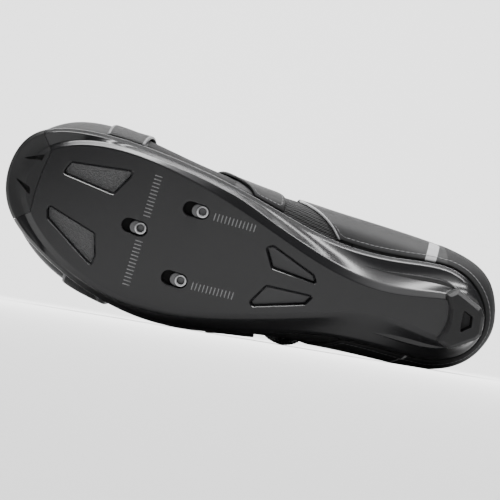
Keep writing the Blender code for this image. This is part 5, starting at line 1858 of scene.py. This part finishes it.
@dataclass
class Inside:
    """The tongue and the insole."""

    last: Last
    tongue_thick: float = 2.6 * MM
    tongue_top: float = 16 * MM
    back: float = 112 * MM
    front: float = 200 * MM
    spread: float = 0.28
    taper: float = 0.42
    dip: float = 1.4 * MM
    land_width: float = 4.5 * MM
    cup_width: float = 8 * MM
    insole_thick: float = 3 * MM

    def tongue(self, look: Skin) -> Piece:
        """The padded tongue: stitched channels across it and a rounded top above the collar.

        Args:
            look: Its material.

        Returns:
            The tongue.
        """
        last = self.last
        across = clustered(40, 26) * 2 - 1
        forward = np.linspace(0, 1, 64)[:, None]
        spread = self.spread * (self.taper + (1 - self.taper) * np.sqrt(forward))
        climb = 1 - spread * np.abs(across)[None, :]
        stations = self.back + (self.front - self.back) * forward
        turn = np.empty(climb.shape)
        for k in range(len(climb)):
            side = np.where(across < 0, -1, 1)
            turn[k] = last.turn_at(np.full(len(across), stations[k, 0]), climb[k], side)
        depth = -last.wall - 2 * last.gap - self.dip * (1 - forward) ** 2 + np.zeros_like(climb)
        edge = np.clip((1 - np.abs(across)) * 20 / 2.0, 0, 1)[None, :]
        channel = np.exp(-(((forward * 88) % 11 - 5.5) / 0.8) ** 2)
        channel = channel * np.clip((1 - np.abs(across)) * 4, 0, 1)[None, :]
        soft = 0.35 + 0.65 * np.sqrt(np.maximum(1 - (1 - edge) ** 2, 0))
        high = last.off_wall(turn, climb, depth - 0.45 * MM * channel)
        low = last.off_wall(turn, climb, depth - self.tongue_thick * soft)
        middle = len(across) // 2
        crest = high[:, middle]
        back = unit(crest[0] - crest[4])
        top = []
        for step in np.linspace(0, 1, 15)[1:]:
            lift = np.interp(step, (0, 0.4, 0.75, 1), (0, 0.05, 0.25, 0.6))
            narrow = np.interp(step, (0, 0.4, 0.75, 0.92, 1), (1, 0.97, 0.93, 0.88, 0.8))
            shift = back * self.tongue_top * step + np.array([0, 0, self.tongue_top * lift * 0.7])
            pair = []
            for grid in (low, high):
                row = grid[0] + shift
                row[:, 1] = crest[0, 1] + (row[:, 1] - crest[0, 1]) * narrow
                pair.append(row)
            top.append(pair)
        low = np.concatenate([np.array([pair[0] for pair in top[::-1]]), low])
        high = np.concatenate([np.array([pair[1] for pair in top[::-1]]), high])
        a, b = lengths(high, 0), lengths(high, 1)
        edge_mm = np.minimum(np.minimum(a, a[-1:] - a), np.minimum(b, b[:, -1:] - b))
        piece = between("tongue_pad", high, low, {"edge_mm": edge_mm, "run_mm": a}, np.stack([b, a], -1))
        present(piece, "tongue_mesh", "tongue", angle=60, looks=(look,))
        return piece and piece

    def insole(self, look: Skin) -> Piece:
        """The footbed inside the upper.

        Args:
            look: Its material.

        Returns:
            The footbed.
        """
        last, turn = self.last, np.linspace(0, 2, 361)
        rim = last.wall + last.feather_inset + self.land_width / 2
        foot = last.footbed(turn, -self.cup_width - last.gap, last.gap)
        brim = last.edge_ring(turn)[:, 2] + last.gap
        low = last.moved(last.edge_ring, turn, -self.land_width - last.gap, brim)
        low = foot + (low - foot) * 0.98
        high = last.moved(last.edge_ring, turn, -rim - last.gap)
        high[:, 2] = np.maximum(low[:, 2] + last.gap, foot[:, 2] + self.insole_thick)
        bed = last.footbed(turn, -self.cup_width - self.insole_thick, self.insole_thick)
        rings = soften([foot, low, high, bed, (bed + bed[::-1]) / 2 * 0.2 + bed * 0.8],
                       [0.0, 0.2 * MM, 0.5 * MM, 3 * MM, 0.0])
        under, over = rings[0], rings[-1]
        rows = [(under + under[::-1]) / 2 * (1 - s) + under * s for s in (0.0, 0.5)] + rings
        middle = (over + over[::-1]) / 2
        rows += [middle + (over - middle) * s for s in (0.75, 0.5, 0.25, 0.0)]
        piece = present(surface("footbed", np.array(rows)), "footbed_foam", "insole", angle=50, looks=(look,))
        return piece


@dataclass
class Closure:
    """The dial, its base, the wire and its guides."""

    last: Last
    dial_radius: float = 13.6 * MM
    dial_height: float = 5.6 * MM
    tilt: float = 38.0
    dial_x: float = 0.393 * 285 * MM
    climb: float = 0.71
    base_height: float = 3.3 * MM
    base_radius: float = 13 * MM
    knurls: int = 44
    lace: float = 1.3 * MM
    lift: float = 1.1 * MM
    drop: float = 1.3 * MM
    clear: float = 0.45 * MM
    guide_radius: float = 4.6 * MM
    guide_core: float = 2.2 * MM
    guide_plate: float = 0.8 * MM
    guide_lead: float = 0.08
    dial_lead: float = 0.15
    panel: float = 0.9 * MM
    crossing_steps: int = 7

    def dial_frame(self) -> tuple[Array, tuple[Array, ...]]:
        """The centre of the dial's seat on the wall, and the directions across, up and out of it.

        Returns:
            The centre, and the three directions.
        """
        level = np.array([self.climb])
        seat = self.last.off_wall(self.last.turn_at(np.array([self.dial_x]), level, -1), level, 0.0)[0]
        c, s = math.cos(math.radians(self.tilt)), math.sin(math.radians(self.tilt))
        return seat, (np.array([1.0, 0, 0]), np.array([0, s, c]), np.array([0, -c, s]))

    def dial(self, look: Skin) -> Piece:
        """The knob: rows of small square knurls round its rim and a dished face with grip ribs.

        Args:
            look: Its material.

        Returns:
            The knob.
        """
        seat, axes = self.dial_frame()
        low, high, radius = self.base_height + self.last.gap, 0.0, self.dial_radius
        high = low + self.dial_height
        count = self.knurls * 6
        angle = np.arange(count) % 6
        square = np.where(angle < 2, 0.0, 1.0)
        profile, shape = [], []

        def ring(r: float, h: float, depth: float = 0.0) -> None:
            """One ring, its knurls cut to a depth."""
            profile.append((r, h))
            shape.append(1 - depth * (1 - square) / r)

        ring(radius - 1.6 * MM, low)
        ring(radius - 0.9 * MM, low)
        ring(radius - 0.25 * MM, low + 0.25 * MM, 0.2 * MM)
        rows = 3
        pitch = (self.dial_height - 1.3 * MM) / rows
        for row in range(rows):
            start = low + 0.6 * MM + row * pitch
            ring(radius - 0.45 * MM, start, 0.1 * MM)
            ring(radius, start + 0.18 * pitch, 0.45 * MM)
            ring(radius, start + 0.82 * pitch, 0.45 * MM)
            ring(radius - 0.45 * MM, start + pitch, 0.1 * MM)
        ring(radius - 0.7 * MM, high - 0.3 * MM)
        ring(radius - 1.2 * MM, high - 0.05 * MM)
        ring(radius - 2.6 * MM, high)
        ring(radius - 3.1 * MM, high - 0.45 * MM)
        for k, share in enumerate(np.linspace(0.72, 0.12, 8)):
            ring(radius * share, high - 0.45 * MM + 0.25 * MM * (k % 2))
        knob = lathe("dial_knob", seat, axes, tuple(profile), count, np.array(shape))
        return present(knob, "dial_plastic", "dial", angle=28, looks=(look,))

    def guide_height(self, row: Row) -> float:
        """How far a guide's underside lies off the wall: a gap over the sheet that carries it."""
        seat = row[GUIDE_COLUMNS.index("seat")]
        return self.last.gap + (seat + self.last.gap if seat else 0)

    def guide_frame(self, row: Row) -> tuple[Array, ...]:
        """A guide's seat, with the directions along, across to the throat, and out.

        Args:
            row: The guide's row in its table.

        Returns:
            The seat, and the three directions.
        """
        x, side, level = row[:3]
        climb = np.array([level])
        turn = self.last.turn_at(np.array([x * self.last.length]), climb, side)
        out = self.last.wall_normals(turn, climb)[0]
        seat = self.last.off_wall(turn, climb, self.guide_height(row))[0]
        across = (self.last.wall_points(turn, climb + 0.01) - self.last.wall_points(turn, climb))[0]
        ahead = unit(np.cross(across, out) * side)
        return seat, ahead, np.cross(out, ahead) * side, out

    def guides(self, look: Skin) -> None:
        """The low spools that the wire turns round, with rounded flanges.

        Args:
            look: Their material.
        """
        r, core, plate = self.guide_radius, self.guide_core, self.guide_plate
        middle = plate + self.lace + 2 * self.clear
        top = middle + plate
        profile = ((r * 0.94, 0), (r, plate * 0.4), (r, plate * 0.8), (r - 0.15 * MM, plate),
                   (core + 0.3 * MM, plate), (core, plate + 0.3 * MM), (core, middle - 0.3 * MM),
                   (core + 0.3 * MM, middle),
                   (r - 0.15 * MM, middle), (r, middle + plate * 0.2), (r, middle + plate * 0.5),
                   (r * 0.93, top - 0.1 * MM), (r * 0.84, top), (r * 0.46, top), (r * 0.4, top - 0.3 * MM))
        for k, row in enumerate(GUIDE_ROWS):
            seat, *axes = self.guide_frame(row)
            guide = lathe(f"guide_{k + 1}", seat, tuple(axes), profile, 40)
            present(guide, "dial_plastic", f"lace_guide_{k + 1}", angle=30, looks=(look,))

    def crossing(self, start: Row, end: Row) -> list[Array]:
        """Points of the wire from one side of the throat to the other, just above the wall and tongue.

        Args:
            start: Distance from the heel, side, climb and height off the wall.
            end: The same, where it ends.

        Returns:
            The points.
        """
        x0, side, climb0, out0 = start
        x1, _, climb1, out1 = end
        points = []
        for share in np.linspace(0, 1, self.crossing_steps + 2)[1:-1]:
            over = 2 * share - 1
            near, reach = (climb0, -over) if over < 0 else (climb1, over)
            climb = np.array([1 - (1 - near) * reach])
            level = (out0 if over < 0 else out1) * reach ** 2 + self.lift * (1 - reach ** 2)
            where = self.last.turn_at(np.array([x0 + (x1 - x0) * share]), climb, side if over <= 0 else -side)
            points.append(self.last.off_wall(where, climb, level)[0])
        return points

    def route(self) -> Array:
        """The wire's path: out of the dial, over the tongue and round each guide in turn.

        Returns:
            The path.
        """
        seat, (along_x, up, out) = self.dial_frame()
        start = seat + out * (self.base_height - self.drop) + up * (self.base_radius - self.lace)
        start = start + along_x * 2 * self.lace
        path = [start, start + up * 2 * self.lace + along_x * self.lace / 2]
        bend = self.guide_core + self.clear + self.lace / 2
        middle = self.guide_plate + self.clear + self.lace / 2
        gap = self.last.gap
        height = gap + self.panel + gap + self.lace / 2
        exits = (self.dial_x + 3 * self.lace, -1, self.climb + self.dial_lead, height)
        for number, row in enumerate(GUIDE_ROWS):
            place, ahead, across, normal = self.guide_frame(row)
            centre = place + normal * middle
            clear = across * (self.guide_radius + self.lace)
            x, side, climb = row[0] * self.last.length, row[1], row[2] + self.guide_lead
            base = self.guide_height(row) + middle
            path += self.crossing(exits, (x - bend, side, climb, base))
            path.append(centre - bend * ahead + clear)
            last = number == len(GUIDE_ROWS) - 1
            for k in range(3 if last else 5):
                angle = math.pi * k / 4
                path.append(centre - bend * (math.cos(angle) * ahead + math.sin(angle) * across))
            if not last:
                path.append(centre + bend * ahead + clear)
            exits = (x + bend, side, climb, base)
        return np.array(path)

    def wire(self, look: Skin) -> Piece:
        """The braided wire."""
        cord = tube("lace_cord", smooth_path(self.route()), self.lace / 2, 12)
        return present(cord, "lace_wire", "lace", angle=60, looks=(look,))


@dataclass
class Studio:
    """Pale floor, soft light and the camera at the photograph's angle."""

    camera_at: Row = (-0.010, -1.10, 0.004)
    target: Row = (-0.0012, -0.052, 0.0482)
    roll: float = 9.37
    view_width: float = 271.5 * MM
    world: float = 0.3
    key_power: float = 88.0
    low_power: float = 5.0
    fill_power: float = 9.0
    back_power: float = 420.0

    def floor(self, look: Skin) -> Piece:
        """A floor that sweeps up into a backdrop, far behind the shoe.

        Args:
            look: Its material.

        Returns:
            The floor.
        """
        across = np.linspace(-6, 6, 9)
        sweep = [(-6.0, 0.0), (0.0, 0.0), (2.0, 0.0)]
        bends = np.linspace(0, math.pi / 2, 13)[1:]
        sweep += [(2.0 + 1.2 * math.sin(a), 1.2 - 1.2 * math.cos(a)) for a in bends]
        sweep.append((3.2, 5.0))
        bpy.ops.object.select_all(action="DESELECT")
        bpy.ops.mesh.primitive_grid_add(x_subdivisions=len(across) - 1, y_subdivisions=len(sweep) - 1, size=2)
        floor = bpy.context.object
        floor.name = "floor"
        points = [(x, y, z) for y, z in sweep for x in across]
        floor.data.vertices.foreach_set("co", np.array(points, np.float32).ravel())
        floor.data.materials.append(look)
        alone(floor)
        bpy.ops.object.shade_smooth()
        return floor

    def light(self, name: str, at: Row, aim: Row, size: Row, power: float) -> None:
        """A soft rectangular light.

        Args:
            name: Its name.
            at: Where it stands.
            aim: What it points at.
            size: Its length and width.
            power: Watts.
        """
        data = bpy.data.lights.new(name, "AREA")
        data.shape, data.size, data.size_y, data.energy = "RECTANGLE", size[0], size[1], power
        lamp = bpy.data.objects.new(name, data)
        bpy.context.scene.collection.objects.link(lamp)
        lamp.location = at
        lamp.rotation_euler = (Vector(aim) - Vector(at)).to_track_quat("-Z", "Y").to_euler()

    def build(self, pale: Skin) -> None:
        """Sets floor, lights, world and camera.

        Args:
            pale: The floor's material.
        """
        self.floor(pale)
        self.light("key", (0, -0.2, 1.1), (0, -0.05, 0.05), (2.0, 0.2), self.key_power)
        self.light("low_fill", (0, -1.5, 0.5), (0, -0.05, 0.05), (1.2, 0.4), self.low_power)
        self.light("fill", (0, -0.5, 1.05), (0, -0.04, 0.05), (1.4, 0.5), self.fill_power)
        self.light("backdrop_light", (0, 1.2, 2.6), (0, 3.2, 0.6), (4.0, 1.0), self.back_power)
        world = bpy.data.worlds.new("studio")
        world.use_nodes = True
        world.node_tree.nodes["Background"].inputs["Color"].default_value = (1, 1, 1, 1)
        world.node_tree.nodes["Background"].inputs["Strength"].default_value = self.world
        bpy.context.scene.world = world
        data = bpy.data.cameras.new("camera")
        camera = bpy.data.objects.new("camera", data)
        bpy.context.scene.collection.objects.link(camera)
        at, aim = Vector(self.camera_at), Vector(self.target)
        facing = (aim - at).to_track_quat("-Z", "Y").to_matrix().to_4x4()
        camera.matrix_world = Matrix.Translation(at) @ facing @ Matrix.Rotation(math.radians(self.roll), 4, "Z")
        data.sensor_width = 36
        data.lens = 36 * (aim - at).length / self.view_width
        data.clip_start = 0.01
        bpy.context.scene.camera = camera


def finishes() -> dict[str, Skin]:
    """Every material of the shoe and the floor.

    Returns:
        The materials by name.
    """
    quarter = Look("panel_skin", PANEL_SKIN, (
        Zone("counter", COUNTER_SKIN), Zone("tab", REFLECTIVE, 0.15), Zone("pipe", REFLECTIVE, 0.15)), 3.0)
    looks = (
        Look("composite", COMPOSITE), Look("tick", TICK), Look("window_mesh", WINDOW_MESH),
        Look("window_smooth", WINDOW_SMOOTH), Look("slot_painted_shade", SLOT_PAINTED_SHADE), Look("rubber", RUBBER), quarter,
        Look("upper_skin", MICROFIBRE, (Zone("knit", KNIT), Zone("lining", LINING, 1.0))),
        Look("binding_skin", STRAP_SKIN), Look("strap_skin", STRAP_SKIN, (Zone("trim", TRIM, 0.2),)),
        Look("wing_skin", PANEL_SKIN, (), 2.2),
        Look("tongue_knit", KNIT, (), 1.8), Look("foam", FOAM), Look("plastic", PLASTIC), Look("steel", STEEL),
        Look("steel_painted_shade", STEEL_PAINTED_SHADE), Look("wire", WIRE),
        Look("pale_floor", Finish((0.52, 0.52, 0.52), 0.9, Texture.FOAM, 0.0, 0.2, blotch=0.0, wear=0.02)),
    )
    return {look.name: look.material() for look in looks}


def main(frame: dict) -> None:
    """Builds the shoe's pieces in order, then the studio.
    """
    looks = finishes()
    last = Last()
    shape = SoleBody(last)
    plate = Outsole(last, shape)
    plate.build(looks)
    pads = Pads(last, shape, plate)
    pads.toe(looks["rubber"], looks["slot_painted_shade"])
    pads.heel(looks["rubber"])
    CleatNuts(last, plate).build(looks["steel"], looks["steel_painted_shade"])
    Upper(last).build((looks["upper_skin"], looks["binding_skin"]), plate.prism)
    overlays = Overlays(last)
    present(overlays.quarter(), "panel_microfibre", "quarter_panel", angle=50, looks=(looks["panel_skin"],))
    present(overlays.forefoot(), "strap_microfibre", "forefoot_strap", angle=50, looks=(looks["strap_skin"],))
    for name, rows, side in (("wing_inner", WING_IN_ROWS, 1), ("wing_outer", WING_OUT_ROWS, -1)):
        node = f"instep_{name}"
        wing = overlays.instep(name, rows, side)
        present(wing, "panel_microfibre", node, angle=50, looks=(looks["wing_skin"],))
    inside = Inside(last)
    inside.tongue(looks["tongue_knit"])
    inside.insole(looks["foam"])
    closure = Closure(last)
    closure.dial(looks["plastic"])
    closure.guides(looks["plastic"])
    closure.wire(looks["wire"])
    base = frame["nodes"]["dial_base"]
    base.data.materials.clear()
    base.data.materials.append(looks["plastic"])
    Studio().build(looks["pale_floor"])


if __name__ == "__main__":
    logging.basicConfig(level=logging.INFO, format="%(message)s")
    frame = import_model()
    main(frame)
